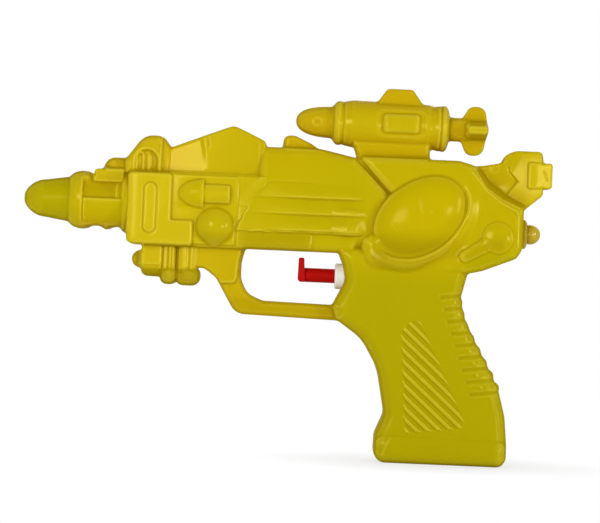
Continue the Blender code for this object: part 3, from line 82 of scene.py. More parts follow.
Array = np.ndarray
Spot = tuple[float, float]
Corner = tuple[float, float, float]
Colour = tuple[float, float, float]
Height = Union[float, Callable[[Array, Array], Array]]

MILLIMETRE = 0.001
# Where the frame's origin lies in the side drawing.
ROW_STATION = 162.8
ROW_LEVEL = -62.45
# No distance outside an outline is worked out past this.
FAR = 8.0
# What a feature has where it says nothing else: its fillet in height, the fillet of the silhouette where
# two features meet, and the slope of its wall outside its outline.
FILLET = 0.7
CORNER_FILLET = 0.4
DRAFT = 2.6
# A corner that turns by less than this stays sharp, and an arc takes no more than this share of a run.
LEAST_TURN = 0.03
ARC_SHARE = 0.49


class Side(Enum):
    """The two moulded halves, by the sign of their Y."""

    LEFT = -1
    RIGHT = 1


class Cut(Enum):
    """How a line is worked into a relief."""

    GROOVE = -1
    RIDGE = 1


def to_row(station: Array, out: Array, level: Array) -> Array:
    """Points of the side drawing, in millimetres, as points of the row frame, in metres."""
    return np.column_stack((station - ROW_STATION, out, level - ROW_LEVEL)) * MILLIMETRE


def ease(share: Array) -> Array:
    """The smooth step 3t² - 2t³ of a share held between 0 and 1."""
    held = np.clip(share, 0.0, 1.0)
    return held * held * (3.0 - 2.0 * held)


def bell(distance: Array, width: float) -> Array:
    """The bell exp(-(d / w)²), which has faded to about a third at its width."""
    return np.exp(-((distance / width) ** 2))


def smooth_max(first: Array, second: Array, fillet: float) -> Array:
    """The larger height, filleted where they cross: max(a, b) + max(fillet - |a - b|, 0)² / 4 fillet."""
    near = np.maximum(fillet - np.abs(first - second), 0.0)
    return np.maximum(first, second) + near * near / (4.0 * fillet)


def through(knots: Sequence[Spot], at: Array) -> Array:
    """A curve through the knots that never overshoots them.

    Args:
        knots: Pairs of place and value, in rising order of place.
        at: The places asked for.

    Returns:
        Cubic Hermite values, with each knot's slope the harmonic mean of its neighbours' slopes.
    """
    places, values = np.array(knots, float).T
    steps = np.diff(places)
    rises = np.diff(values) / steps
    slopes = np.concatenate((rises[:1], np.zeros(len(steps) - 1), rises[-1:]))
    alike = rises[:-1] * rises[1:] > 0
    joined = np.where(alike, rises[:-1] + rises[1:], 1.0)
    slopes[1:-1] = np.where(alike, 2.0 * rises[:-1] * rises[1:] / joined, 0.0)
    span = np.clip(np.searchsorted(places, at) - 1, 0, len(steps) - 1)
    t = np.clip((at - places[span]) / steps[span], 0.0, 1.0)
    start = values[span] * (1 + 2 * t) * (1 - t) ** 2 + values[span + 1] * t * t * (3 - 2 * t)
    return start + steps[span] * t * (1 - t) * (slopes[span] * (1 - t) - slopes[span + 1] * t)


def to_line(path: Sequence[Spot], x: Array, z: Array) -> Array:
    """The distance of points from an open line.

    Args:
        path: The line's corners.
        x: The points' stations.
        z: The points' levels.

    Returns:
        The distance to the nearest straight run.
    """
    near = np.full(x.shape, np.inf)
    for (ax, az), (bx, bz) in zip(path[:-1], path[1:]):
        run_x, run_z = bx - ax, bz - az
        share = np.clip(((x - ax) * run_x + (z - az) * run_z) / (run_x**2 + run_z**2), 0.0, 1.0)
        near = np.minimum(near, np.hypot(x - ax - share * run_x, z - az - share * run_z))
    return near


@dataclass(frozen=True)
class Outline:
    """A closed outline of straight runs with an arc at each corner (station, level, radius).

    The points of an arc lie no further apart than arc_degrees and arc_run.
    """

    corners: tuple[Corner, ...]
    arc_degrees: float = 3.0
    arc_run: float = 0.35

    def points(self) -> Array:
        """Works out the outline's points.

        Returns:
            The points in order, with each corner's arc tangent to its two runs.
        """
        spots = np.array(self.corners, float)
        found = []
        for back, corner, ahead in zip(np.roll(spots, 1, 0), spots, np.roll(spots, -1, 0)):
            to_back, to_ahead = back[:2] - corner[:2], ahead[:2] - corner[:2]
            long_back, long_ahead = np.hypot(*to_back), np.hypot(*to_ahead)
            to_back, to_ahead = to_back / long_back, to_ahead / long_ahead
            turn = math.pi - math.acos(np.clip(to_back @ to_ahead, -1.0, 1.0))
            if corner[2] <= 0 or turn < LEAST_TURN:
                found.append(corner[None, :2])
                continue
            reach = min(corner[2] * math.tan(turn / 2), ARC_SHARE * long_back, ARC_SHARE * long_ahead)
            radius = reach / math.tan(turn / 2)
            inward = (to_back + to_ahead) / np.hypot(*(to_back + to_ahead))
            centre = corner[:2] + inward * radius / math.cos(turn / 2)
            first = corner[:2] + to_back * reach - centre
            side = 1.0 if to_back[0] * to_ahead[1] - to_back[1] * to_ahead[0] < 0 else -1.0
            steps = max(2, round(math.degrees(turn) / self.arc_degrees), round(radius * turn / self.arc_run))
            swing = side * turn * np.linspace(0.0, 1.0, steps + 1)
            swung_x = np.cos(swing) * first[0] - np.sin(swing) * first[1]
            swung_z = np.sin(swing) * first[0] + np.cos(swing) * first[1]
            found.append(centre + np.column_stack((swung_x, swung_z)))
        return np.vstack(found)

    def inside(self, x: Array, z: Array) -> Array:
        """Signed distance to the outline: positive inside, and -FAR well outside.

        Args:
            x: The points' stations.
            z: The points' levels.

        Returns:
            The least distance to the outline's runs, with its sign from counting crossings.
        """
        loop = self.points()
        low, high = loop.min(0) - FAR, loop.max(0) + FAR
        close = (x > low[0]) & (x < high[0]) & (z > low[1]) & (z < high[1])
        px, pz = x[close], z[close]
        near = np.full(px.shape, np.inf)
        odd = np.zeros(px.shape, bool)
        for (ax, az), (bx, bz) in zip(loop, np.roll(loop, -1, 0)):
            run_x, run_z = bx - ax, bz - az
            length = run_x**2 + run_z**2
            if length < 1e-12:
                continue
            share = np.clip(((px - ax) * run_x + (pz - az) * run_z) / length, 0.0, 1.0)
            near = np.minimum(near, (px - ax - share * run_x) ** 2 + (pz - az - share * run_z) ** 2)
            if abs(run_z) > 1e-9:
                odd ^= ((az > pz) != (bz > pz)) & (px < ax + (pz - az) / run_z * run_x)
        result = np.full(x.shape, -FAR)
        result[close] = np.maximum(np.where(odd, 1.0, -1.0) * np.sqrt(near), -FAR)
        return result


def box(left: float, low: float, right: float, high: float, *radii: float) -> tuple[Corner, ...]:
    """A rectangle's corners, anticlockwise from the lower left, with one radius for all or one each."""
    places = ((left, low), (right, low), (right, high), (left, high))
    return tuple((*place, radius) for place, radius in zip(places, radii * 4))


@dataclass(frozen=True)
class Oval:
    """An ellipse in the side drawing, with its half lengths along and across its lean."""

    centre: Spot
    halves: Spot
    degrees: float = 0.0

    def across(self, x: Array, z: Array) -> Array:
        """Works out the elliptic radius of points.

        Args:
            x: The points' stations.
            z: The points' levels.

        Returns:
            The radius q = sqrt((a / long)² + (c / short)²), with a along the lean and c across it.
        """
        cos, sin = math.cos(math.radians(self.degrees)), math.sin(math.radians(self.degrees))
        ahead, above = x - self.centre[0], z - self.centre[1]
        along, aside = ahead * cos + above * sin, above * cos - ahead * sin
        return np.hypot(along / self.halves[0], aside / self.halves[1])

    def inside(self, x: Array, z: Array) -> Array:
        """About the distance inside the ellipse: (1 - q) times the mean half length."""
        return (1.0 - self.across(x, z)) * 0.5 * sum(self.halves)


class Relief:
    """A moulded side over points of the side drawing: how far out it stands and how far it reaches.

    Attributes:
        x: The points' stations.
        z: The points' levels.
        out: The height out of the parting plane, below zero where there is no moulding.
        reach: The distance inside the silhouette, below zero outside it.
    """

    def __init__(self, x: Array, z: Array) -> None:
        """Starts with nothing moulded.

        Args:
            x: The points' stations.
            z: The points' levels.
        """
        self.x = x
        self.z = z
        self.out = np.full(x.shape, -FAR)
        self.reach = np.full(x.shape, -FAR)

    def stand(self, inside: Array, out: Array, fillet: float = FILLET) -> None:
        """Adds a feature, filleted to what is there, and lets the silhouette take it in."""
        self.out = smooth_max(self.out, out, fillet)
        self.reach = smooth_max(self.reach, inside, CORNER_FILLET)

    def slab(
        self, *corners: Corner, top: Height, rim: float, fillet: float = FILLET, draft: float = DRAFT
    ) -> Array:
        """Adds a slab with a flat or shaped top and a rounded rim.

        Args:
            corners: The outline's corners.
            top: The height of the top, or a function that gives it.
            rim: The radius of the rounded edge.
            fillet: The fillet to what is there.
            draft: The slope of the wall outside the outline.

        Returns:
            The distance inside the outline: with d that distance, the height is
            top - rim + sqrt(rim² - (rim - d)²) up to d = rim, and falls at the draft outside.
        """
        inside = Outline(corners).inside(self.x, self.z)
        held = np.clip(inside, 0.0, rim)
        level = top(self.x, self.z) if callable(top) else top
        out = level - rim + np.sqrt(rim * rim - (rim - held) ** 2) + draft * np.minimum(inside, 0.0)
        self.stand(inside, out, fillet)
        return inside

    def turned(
        self,
        radius: Callable[[Array], Array],
        ends: tuple[float, float],
        level: float,
        degrees: float = 0.0,
        pivot: float = 0.0,
        base: float = 0.0,
        flatten: float = 1.0,
        fillet: float = FILLET,
    ) -> None:
        """Adds a body turned about a line of the drawing.

        Args:
            radius: The radius at each station.
            ends: The first and last station.
            level: The axis's level at the pivot.
            degrees: The axis's lean.
            pivot: The station about which it leans.
            base: How far out the axis lies.
            flatten: The share of the roundness that stands out.
            fillet: The fillet to what is there.
        """
        cos, sin = math.cos(math.radians(degrees)), math.sin(math.radians(degrees))
        along = pivot + (self.x - pivot) * cos + (self.z - level) * sin
        across = (self.z - level) * cos - (self.x - pivot) * sin
        round_at = radius(np.clip(along, *ends))
        inside = np.minimum(round_at - np.abs(across), np.minimum(along - ends[0], ends[1] - along))
        inside = np.maximum(inside, -FAR)
        bow = np.sqrt(np.maximum(round_at**2 - across**2, 0.0))
        out = np.where(inside > 0, base + flatten * bow, base + DRAFT * inside)
        self.stand(inside, out, fillet)

    def dome(self, oval: Oval, base: float, rise: float, fillet: float = FILLET) -> None:
        """Adds half an ellipsoid standing on a level face.

        With q the elliptic radius, its height is base + rise sqrt(1 - q²).

        Args:
            oval: Its edge.
            base: How far out it stands.
            rise: Its height above that.
            fillet: The fillet to what is there.
        """
        inside = oval.inside(self.x, self.z)
        q = 1.0 - inside / (0.5 * sum(oval.halves))
        out = np.where(q < 1, base + rise * np.sqrt(np.maximum(1.0 - q * q, 0.0)), base + DRAFT * inside)
        self.stand(np.maximum(inside, -FAR), np.maximum(out, -FAR), fillet)

    def line(self, *path: Spot, width: float, depth: float, cut: Cut) -> None:
        """Works a line with a bell's section into the face; at its width it has faded to about a third."""
        self.out = self.out + cut.value * depth * bell(to_line(path, self.x, self.z), width)

    def sink(self, inside: Array, depth: Union[float, Array], edge: float) -> None:
        """Lowers the face where inside is above zero, over an edge of this width."""
        self.out = self.out - depth * ease(inside / edge)


class Feature(ABC):
    """A sub-assembly of the moulding, with its own sizes."""

    @abstractmethod
    def shape(self, relief: Relief) -> None:
        """Lays the sub-assembly's forms into the relief."""


@dataclass(frozen=True)
class Barrel(Feature):
    """The round front end: nose, rings and neck, with the two blocks that stand on it."""

    level: float = 0.3
    nose_length: float = 18.0
    nose_radius: float = 8.95
    dome_length: float = 8.5
    dome_radius: float = 7.45
    dome_power: float = 1.8
    end: float = 46.0
    mouth: float = 0.36
    rings: tuple[Spot, ...] = (
        (18.0, 8.95), (18.5, 9.5), (19.6, 10.5), (21.5, 11.3), (23.6, 11.6), (26.0, 11.3), (28.2, 10.25),
        (30.2, 10.2), (33.6, 11.55), (37.0, 10.5), (38.4, 10.4), (40.2, 12.2), (42.0, 12.8), (46.0, 12.8),
    )
    waist: float = 9.9
    flat: float = 11.5
    flat_top: float = 0.9

    def radius(self, station: Array) -> Array:
        """The radius at each station: a superellipse dome, a straight taper, then the ringed neck.

        Args:
            station: The stations asked for.

        Returns:
            The radius at each.
        """
        share = np.clip(1.0 - station / self.dome_length, 0.0, 1.0)
        tip = self.dome_radius * (1.0 - share**self.dome_power) ** (1.0 / self.dome_power)
        taper = (station - self.dome_length) / (self.nose_length - self.dome_length)
        cone = self.dome_radius + (self.nose_radius - self.dome_radius) * taper
        front = np.where(station < self.dome_length, tip, cone)
        return np.where(station < self.nose_length, front, through(self.rings, station))

    def shape(self, relief: Relief) -> None:
        """Lays the barrel's features into the relief.

        Args:
            relief: The side to shape.
        """
        relief.turned(self.radius, (0.0, self.end), self.level)
        x, z = relief.x, relief.z
        relief.reach = np.minimum(relief.reach, x - self.mouth)
        sunk = ease((x - 23.6) / 0.8) * ease((37.4 - x) / 0.8) * ease((9.5 - np.abs(z - self.level)) / 3.0)
        waist = np.sqrt(np.maximum(self.waist**2 - (z - self.level) ** 2, 0.0))
        relief.out = relief.out - sunk * np.maximum(relief.out - waist, 0.0)
        relief.slab(
            *box(24.2, -9.6, 40.6, self.flat_top, 0, 0, 0.3, 0.3),
            top=lambda x, z: np.sqrt(
                np.maximum(self.flat**2 - (np.minimum(z, 0.0) - self.level) ** 2, 0.01)
            ),
            rim=0.35, fillet=0.7,
        )
        relief.slab(
            (28.0, 7.7, 0.6), (40.0, 7.7, 0), (40.0, 12.9, 0.4), (28.2, 12.9, 1.6),
            top=8.7, rim=0.7, fillet=0.4,
        )
        relief.slab(
            (31.2, 10, 0), (44, 10, 0), (44, 17.7, 0.5), (32.4, 17.7, 4.4), top=6.0, rim=3.8, fillet=0.6
        )


@dataclass(frozen=True)
class FrontBlock(Feature):
    """The square block behind the barrel, the louvred hump on it and the cluster of pipes below it."""

    start: float = 42.0
    back: float = 59.4
    foot: float = 68.3
    top: float = 12.0
    bottom: float = -16.1
    foot_level: float = -6.4
    half: float = 14.4
    hump_half: float = 8.6
    slot_station: float = 50.9
    slot_level: float = -1.8
    slot_wide: float = 2.6
    slot_tall: float = 10.0
    ball: Oval = Oval((47.9, -22.3), (3.75, 3.6))
    flutes: tuple[tuple[float, float, float], ...] = (
        (57.6, 0.7, 0.7), (59.7, 0.42, 0.8), (60.9, 0.42, 0.8), (65.2, 1.3, 0.8), (68.2, 0.45, 0.7)
    )

    def shape(self, relief: Relief) -> None:
        """Lays the block's features into the relief.

        Args:
            relief: The side to shape.
        """
        self.pipes(relief)
        self.hump(relief)
        relief.slab(
            (self.start, self.top, 1.8), (self.start, self.bottom, 1.8), (self.foot, self.bottom, 1.4),
            (self.foot, self.foot_level, 1.0), (self.back, self.foot_level, 0.6),
            (self.back, self.top, 1.4),
            top=lambda x, z: self.half - 0.05 * np.maximum(self.start + 4.0 - x, 0.0) ** 2,
            rim=1.2, fillet=0.3, draft=7.0,
        )
        wide, tall = self.slot_wide, self.slot_tall
        left, right = self.slot_station - wide, self.slot_station + wide
        low, high = self.slot_level - tall, self.slot_level + tall
        inside = Outline(box(left, low, right, high, wide)).inside(relief.x, relief.z)
        relief.out += 0.3 * ease(inside / 0.8) - 0.38 * bell(inside, 0.5)

    def hump(self, relief: Relief) -> None:
        """The arched housing over the block, with its louvred recess and the step at its back.

        Args:
            relief: The side to shape.
        """
        x, z = relief.x, relief.z
        relief.slab(
            (40.0, 11.4, 0), (58.6, 11.4, 0), (58.6, 22.2, 3.0), (55.0, 27.1, 4.6), (47.4, 27.1, 7.0),
            (40.0, 16.8, 4.0),
            top=self.hump_top, rim=2.8,
        )
        arch = Outline(box(43.9, 10.0, 53.5, 21.7, 0.4, 0.4, 4.7, 4.7)).inside(x, z)
        relief.sink(arch, 0.9 + 0.3 * ease((x - 47.2) / 0.5), edge=1.2)
        relief.out += 0.4 * bell(arch + 0.3, 0.5)
        loop = Outline(box(44.9, 10.0, 47.5, 20.0, 0, 0, 1.3, 1.3)).inside(x, z)
        relief.out += 0.8 * bell(loop, 0.5) * ease(arch / 0.8)
        slat = np.abs(x - 49.6) + 0.4 * np.maximum(z - 18.5, 0.0)
        relief.out += 0.7 * bell(slat, 0.8) * ease(arch / 0.8)
        relief.line((54.2, 12.6), (54.2, 22.8), width=0.42, depth=0.4, cut=Cut.RIDGE)
        relief.line((54.2, 21.6), (54.2, 22.0), width=0.6, depth=0.3, cut=Cut.RIDGE)

    def pipes(self, relief: Relief) -> None:
        """Ball, plate and two fluted pipes with bulbous feet below the block.

        Args:
            relief: The side to shape.
        """
        relief.dome(self.ball, 0.0, 4.2)
        relief.slab(
            (48.3, -14, 0), (48.3, -29.0, 2.4), (56.4, -29.2, 1.5), (56.4, -14, 0),
            top=self.plate_top, rim=0.9,
        )
        relief.slab((50, -14, 0), (50, -27, 0), (70, -27, 0), (70, -14, 0), top=6.4, rim=1.0)
        for left, right in ((56.6, 62.0), (63.0, 70.6)):
            relief.slab(
                (left, -14, 0), (left, -27.0, 0), (right, -27.0, 0), (right, -14, 0),
                top=8.6, rim=1.5, fillet=0.4,
            )
        for middle, low, wide in ((59.4, -32.0, 3.7), (66.9, -32.2, 4.9)):
            relief.slab(
                (middle - wide, -25.2, 2.2), (middle - wide, low, 3.0), (middle + wide, low, 3.4),
                (middle + wide, -25.2, 2.2),
                top=lambda x, z, c=middle, w=wide: self.foot_top((x - c) / w, z),
                rim=1.6, fillet=1.2,
            )
        for station, wide, tall in self.flutes:
            relief.line((station, -17.0), (station, -25.0), width=wide, depth=tall, cut=Cut.RIDGE)

    def foot_top(self, across: Array, z: Array) -> Array:
        """The face of a pipe's foot: it bows across, from -1 to 1, and down."""
        return 10.0 - 3.0 * across**2 - 2.4 * ((z + 28.0) / 4.2) ** 2

    def hump_top(self, x: Array, z: Array) -> Array:
        """The hump's face: it bows in towards its top and steps in at its back."""
        return self.hump_half - 0.018 * np.maximum(z - 18.0, 0.0) ** 2 - 1.1 * ease((x - 54.5) / 0.5)

    def plate_top(self, x: Array, z: Array) -> Array:
        """The face of the front plate: flat, then rounding in below its lower edge."""
        return 9.6 - 0.5 * ease((-24.0 - z) / 0.7) - 0.17 * np.maximum(-24.2 - z, 0.0) ** 2


@dataclass(frozen=True)
class Receiver(Feature):
    """The body from the front block back to the slanting groove, with fin, panel, vent and rail."""

    core: float = 8.8
    half: float = 12.0
    panel_half: float = 12.5
    fin_half: float = 9.4
    fin_fold: float = 71.6
    vent_bottom: float = -9.0
    vent_pitch: float = 6.55
    vent_bands: int = 3
    vent_lip: float = 0.35
    ball: Oval = Oval((77.0, -8.0), (8.9, 8.5))
    ball_sunk: float = 4.6
    ball_rise: float = 8.8

    def shape(self, relief: Relief) -> None:
        """Lays the receiver's features into the relief.

        Args:
            relief: The side to shape.
        """
        relief.slab(
            (43.6, -16.5, 1), (160, -16.5, 0), (160, 21.6, 0), (131.2, 21.2, 2), (118, 24.1, 14),
            (94, 24.1, 0), (94, 12.4, 0), (43.6, 12.4, 1),
            top=self.core, rim=1.6,
        )
        self.fin(relief)
        self.sight(relief)
        relief.slab(
            (44, -16.6, 1.2), (132.2, -16.6, 0), (142.2, -10, 0), (146.4, 6.6, 1.5), (132.2, 21.5, 2.0),
            (118, 24.5, 14), (93.4, 24.5, 1.5), (93.4, 12.4, 0.4), (44, 12.4, 1),
            top=lambda x, z: self.half - 0.012 * np.maximum(z - 8.0, 0.0) ** 2,
            rim=3.4, fillet=0.6,
        )
        relief.slab(*box(44, 0, 97, 12.3, 0, 0, 0.3, 0.3), top=self.half, rim=0.6, fillet=0.3, draft=7.0)
        self.panel(relief)
        self.vent(relief)

    def fin(self, relief: Relief) -> None:
        """The peaked fin: a leaning facet ahead of the fold and a flat one behind it."""
        relief.slab(
            (56.6, 12.4, 0.4), (95.0, 12.4, 1.4), (96.2, 26.3, 2.2), (87.6, 30.3, 4), (83.0, 32.2, 3.6),
            (79.6, 31.0, 4), (58.2, 22.6, 1.5), (56.6, 21.0, 1),
            top=self.fin_top, rim=1.3,
        )
        relief.line((72.0, 28.0), (72.7, 26.2), (73.2, 23.6), width=0.35, depth=0.35, cut=Cut.GROOVE)

    def fin_top(self, x: Array, z: Array) -> Array:
        """The fin's face: it leans forwards and up ahead of the fold."""
        ahead = np.maximum(self.fin_fold + 0.16 * (26.0 - z) - x, 0.0)
        return self.fin_half - 0.17 * ahead - 0.08 * (z - 17) * ease(ahead / 2) - 0.4 * ease((x - 93) / 1.2)

    def sight(self, relief: Relief) -> None:
        """The small rounded rear sight on the deck."""
        relief.slab(
            (102.2, 22, 0), (120.5, 22, 0), (114.2, 26.4, 10), (107.2, 29.6, 3.6), (103.0, 29.3, 3.0),
            top=5.4, rim=2.0, fillet=0.6,
        )

    def panel(self, relief: Relief) -> None:
        """The sunk panel with the half bullet and the ball on it, and its edge towards the vent.

        Args:
            relief: The side to shape.
        """
        face = Outline(box(58, -15.6, 85.2, 11.9, 0, 0.8, 0.8, 0))
        inside = face.inside(relief.x, relief.z)
        lean = 0.06 * np.clip(relief.x - 64.0, -5.0, 0.0)
        relief.out += (self.panel_half - self.half + lean) * ease(inside / 0.6)
        relief.line((85.3, 11.4), (85.3, -9.0), width=0.45, depth=0.35, cut=Cut.RIDGE)
        relief.turned(self.bullet, (61.9, 72.2), 4.6, base=self.panel_half - 0.9, flatten=0.66, fillet=0.35)
        tail = Outline(box(70.0, 0.9, 82.3, 8.3, 0, 0.3, 0.3, 0))
        across = np.clip((relief.z - 4.6) / 3.75, -1.0, 1.0)
        out = self.panel_half + 0.1 + 2.4 * np.sqrt(1.0 - across**2)
        inside = tail.inside(relief.x, relief.z)
        out += 4.0 * np.minimum(inside, 0.0)
        relief.stand(np.maximum(inside, -FAR), np.maximum(out, -FAR), fillet=0.35)
        relief.dome(self.ball, self.panel_half - self.ball_sunk, self.ball_rise, fillet=0.6)

    def bullet(self, station: Array) -> Array:
        """The half bullet's radius: a round nose up to its shoulder."""
        return 5.95 * np.sqrt(np.clip(1.0 - ((72.0 - station) / 10.1) ** 2, 0.0, 1.0))

    def vent(self, relief: Relief) -> None:
        """Three overlapping louvres that stand out further towards the bottom, and the rail below them.

        Going down, each louvre bows out as a quarter sine and then steps back, more so away from their
        curved front edge, to which the face leans up; near their back end the lower ones swell.

        Args:
            relief: The side to shape.
        """
        x, z = relief.x, relief.z
        face = Outline(
            (
                (85.6, -9.2, 0.4), (140, -9.2, 1), (140, 11.2, 4), (98.0, 11.2, 5), (92.6, 5.0, 9),
                (88.6, -2.0, 9),
            ),
        )
        inside = face.inside(x, z) + 0.14 * np.sin(1.3 * (0.7 * x + z)) * ease((104.0 - x) / 6.0)
        front = ease((101.0 - x) / 6.0) * ease((x - 85.4) / 1.2) * ease((z + 9.6) / 1.0)
        relief.out += np.where(inside < 0.25, self.vent_lip * ease(1.0 + inside / 6.0) * front, 0.0)
        top = self.vent_bottom + self.vent_bands * self.vent_pitch
        band = np.clip((top - z) / self.vent_pitch, 0.0, self.vent_bands - 1e-6)
        share = band - np.floor(band)
        step = 0.5 * np.floor(band) + 1.5 * np.sin(0.5 * math.pi * np.minimum(share / 0.84, 1.0))
        step = step - 1.0 * ease((share - 0.86) / 0.14)
        wave = 0.22 * np.sin(0.55 * x) * bell(z - self.vent_bottom, 0.9)
        trend = 0.5 * band
        step = trend + (step - trend) * (0.2 + 0.8 * ease((x - 90.0) / 26.0))
        gleam = 1.25 * np.clip((x - 123.2) / 6.2, 0.0, 1.0) * ease((138.5 - x) / 7.0) * ease((2.0 - z) / 3.0)
        lift = (step + 0.2 + wave) * ease((139.5 - x) / 10.0) + gleam
        relief.sink(inside, 0.4 * ease((122.0 - x) / 20.0), edge=0.7)
        out = self.half - 0.5 + lift + 3.2 * np.minimum(inside, 0.0)
        relief.stand(np.maximum(inside, -FAR), np.maximum(out, -FAR), fillet=0.3)
        rail = Outline(box(85.6, -16.2, 115.2, -9.3, 0.4, 0, 0, 0))
        relief.out += 0.35 * ease(rail.inside(x, z) / 0.4)
        relief.line((115.3, -10.2), (115.3, -15.2), width=0.3, depth=0.3, cut=Cut.RIDGE)


@dataclass(frozen=True)
class Housing(Feature):
    """The body behind the slanting groove, with the egg and its lip, the spoon and the rear fin."""

    half: float = 12.8
    skirt: float = 14.7
    egg: Oval = Oval((158.2, -0.9), (20.3, 14.2), 37.0)
    egg_base: float = 11.9
    egg_rise: float = 6.6
    lip: Oval = Oval((158.2, -1.9), (21.8, 15.7), 37.0)
    lip_rise: float = 1.2
    dents: tuple[tuple[Oval, float], ...] = (
        (Oval((157.6, -1.0), (8.0, 1.9), 100.0), 0.36),
        (Oval((149.2, -6.0), (1.6, 0.45), -50.0), 0.10),
        (Oval((163.6, 1.0), (3.0, 1.5), 64.0), 0.42),
        (Oval((167.0, 4.6), (1.6, 0.45), -55.0), 0.12),
        (Oval((168.6, -6.4), (3.6, 2.2), 40.0), 0.22),
    )
    bowl: Oval = Oval((189.3, -8.1), (6.3, 6.3))
    fin_half: float = 5.4
    block_half: float = 7.4

    def shape(self, relief: Relief) -> None:
        """Lays the housing's features into the relief.

        Args:
            relief: The side to shape.
        """
        self.rear_fin(relief)
        relief.slab(
            (150, -22.6, 0), (178.6, -22.6, 1.2), (184, -21.3, 8), (197.2, -15.9, 3), (199.4, -12, 2.2),
            (199.4, 4, 1.4), (191, 7.5, 8), (184.5, 12, 10), (178.6, 20.6, 2), (173, 22.1, 6),
            (133.0, 22.1, 1.0), (146.9, 7.2, 1.6), (150, -5.9, 0),
            top=self.deck_top, rim=2.6, fillet=1.6,
        )
        edge = ((178.4, 17.8), (184.4, 10.4), (190.6, 5.7), (196.4, 2.9), (197.3, 0.8), (197.5, -11.0))
        relief.line(*edge, width=0.42, depth=0.45, cut=Cut.RIDGE)
        self.rim(relief)
        self.bulge(relief)
        self.spoon(relief)

    def deck_top(self, x: Array, z: Array) -> Array:
        """The housing's face: it bows in towards its top and swells towards the back."""
        return self.half - 0.01 * np.maximum(z - 10.0, 0.0) ** 2 + 0.5 * ease((x - 140.0) / 20.0)

    def block_top(self, x: Array, z: Array) -> Array:
        """The block's face: level, then rising to the back, and a little lower towards its top."""
        return self.block_half + 0.6 + 0.125 * np.logaddexp(0.0, 2.0 * (x - 203.6)) - 0.06 * (z - 17.5)

    def lower(self, x: Array, z: Array) -> Array:
        """The share of the egg's surroundings that lies below its long axis."""
        return ease((0.75 * (x - 159.0) - (z - 1.0)) / 11.0)

    def rim(self, relief: Relief) -> None:
        """The rounded lip under the egg: a skirt that rolls off downwards, and a bead along its upper edge.

        Args:
            relief: The side to shape.
        """
        x, z = relief.x, relief.z
        inside = relief.slab(
            (135.4, -22.6, 9), (155.4, -24.6, 16), (171.4, -16.2, 14), (178.2, -1, 12), (177.6, 8, 6),
            (160, 4, 0), (135.0, -10.2, 3.0),
            top=self.skirt, rim=5.0, fillet=0.6,
        )
        relief.out -= 0.9 * bell(inside + 0.9, 1.8) * ease((-6.0 - z) / 8.0)
        edge = self.lip.inside(x, z)
        clear = ease((0.3 - self.egg.inside(x, z)) / 0.9)
        relief.out += self.lip_rise * bell(np.minimum(edge, 0.0), 2.6) * self.lower(x, z) * clear

    def bulge(self, relief: Relief) -> None:
        """The egg: a leaning half ellipsoid in a shallow moat, dented across its waist and at small folds.

        Args:
            relief: The side to shape.
        """
        x, z = relief.x, relief.z
        inside = self.egg.inside(x, z)
        relief.out -= (0.25 + 0.3 * self.lower(x, z)) * bell(inside + 0.2, 0.8)
        relief.dome(self.egg, self.egg_base, self.egg_rise, fillet=0.4)
        inner = ease(inside / 4.0)
        for dent, depth in self.dents:
            relief.out -= inner * depth * bell(dent.across(x, z), 1.0)

    def spoon(self, relief: Relief) -> None:
        """The teardrop on the back: a round bowl with a slim handle.

        Args:
            relief: The side to shape.
        """
        relief.dome(self.bowl, self.half, 2.3, fillet=1.6)
        near = to_line(((176.6, -15.9), (184.8, -10.8)), relief.x, relief.z)
        wide = 2.2 + 0.06 * (relief.x - 176.4)
        bow = 1.5 * np.sqrt(np.maximum(1.0 - (near / wide) ** 2, 0.0)) - 3.0 * np.maximum(near - wide, 0.0)
        relief.out = smooth_max(relief.out, np.maximum(self.half + 0.2 + bow, -FAR), 1.9)

    def web_top(self, x: Array, z: Array) -> Array:
        """The web's face: hollowed in the middle, with a row of bumps along its upper edge."""
        bumps = 0.3 * np.sin(1.45 * (x - 180.0)) * ease((z - 17.6) / 1.0) * ease((190.0 - x) / 2.0)
        return self.fin_half + bumps - 1.3 * bell(x - 187.5, 5.0) * bell(z - 13.0, 4.5)

    def plate_top(self, x: Array, z: Array) -> Array:
        """The plate's face: it rises to the back and bows round to its upper and lower ends."""
        bow = 0.006 * (z - 17.0) ** 2 + 0.012 * np.maximum(196.0 - x, 0.0) ** 2
        return self.fin_half + 1.0 + 0.24 * (x - 198.0) - 0.06 * (z - 16.0) - bow

    def rear_fin(self, relief: Relief) -> None:
        """The fin over the back: a thin web, a raised plate with a zigzag edge and a square block.

        Args:
            relief: The side to shape.
        """
        relief.slab(
            (194, 2, 0), (199.7, 3.5, 0.6), (206.9, 9.7, 1.6), (206.6, 24, 0), (206, 27.2, 1.6),
            (195.2, 27.2, 7.0), (191.4, 25.2, 5.0), (190, 22.1, 1), (183.4, 20.8, 3), (176, 20, 0),
            (179, 8, 0),
            top=self.web_top, rim=1.2,
        )
        relief.slab(
            (199.8, 3.8, 0.6), (206.6, 9.8, 1.5), (205.7, 27.0, 1.5), (195.6, 26.8, 6.6),
            (192.2, 24.9, 4.6), (192.8, 18.8, 0.4), (196.5, 15.0, 0.4), (192.0, 9.3, 0.4),
            (196.0, 7.0, 0.4),
            top=self.plate_top, rim=0.5, fillet=0.3,
        )
        relief.slab(*box(200.7, 12.3, 210.2, 22.6, 0.9, 1, 1, 0.9), top=self.block_top, rim=0.8, fillet=0.4)
        relief.line((206.8, 19.4), (207.6, 17.4), (208.0, 15.8), width=0.3, depth=0.14, cut=Cut.GROOVE)
        crack = ((192.9, 20.4), (193.2, 18.8), (196.6, 15.0), (192.4, 9.4), (196.0, 6.9), (199.6, 3.9))
        relief.line(*crack, width=0.3, depth=0.5, cut=Cut.GROOVE)


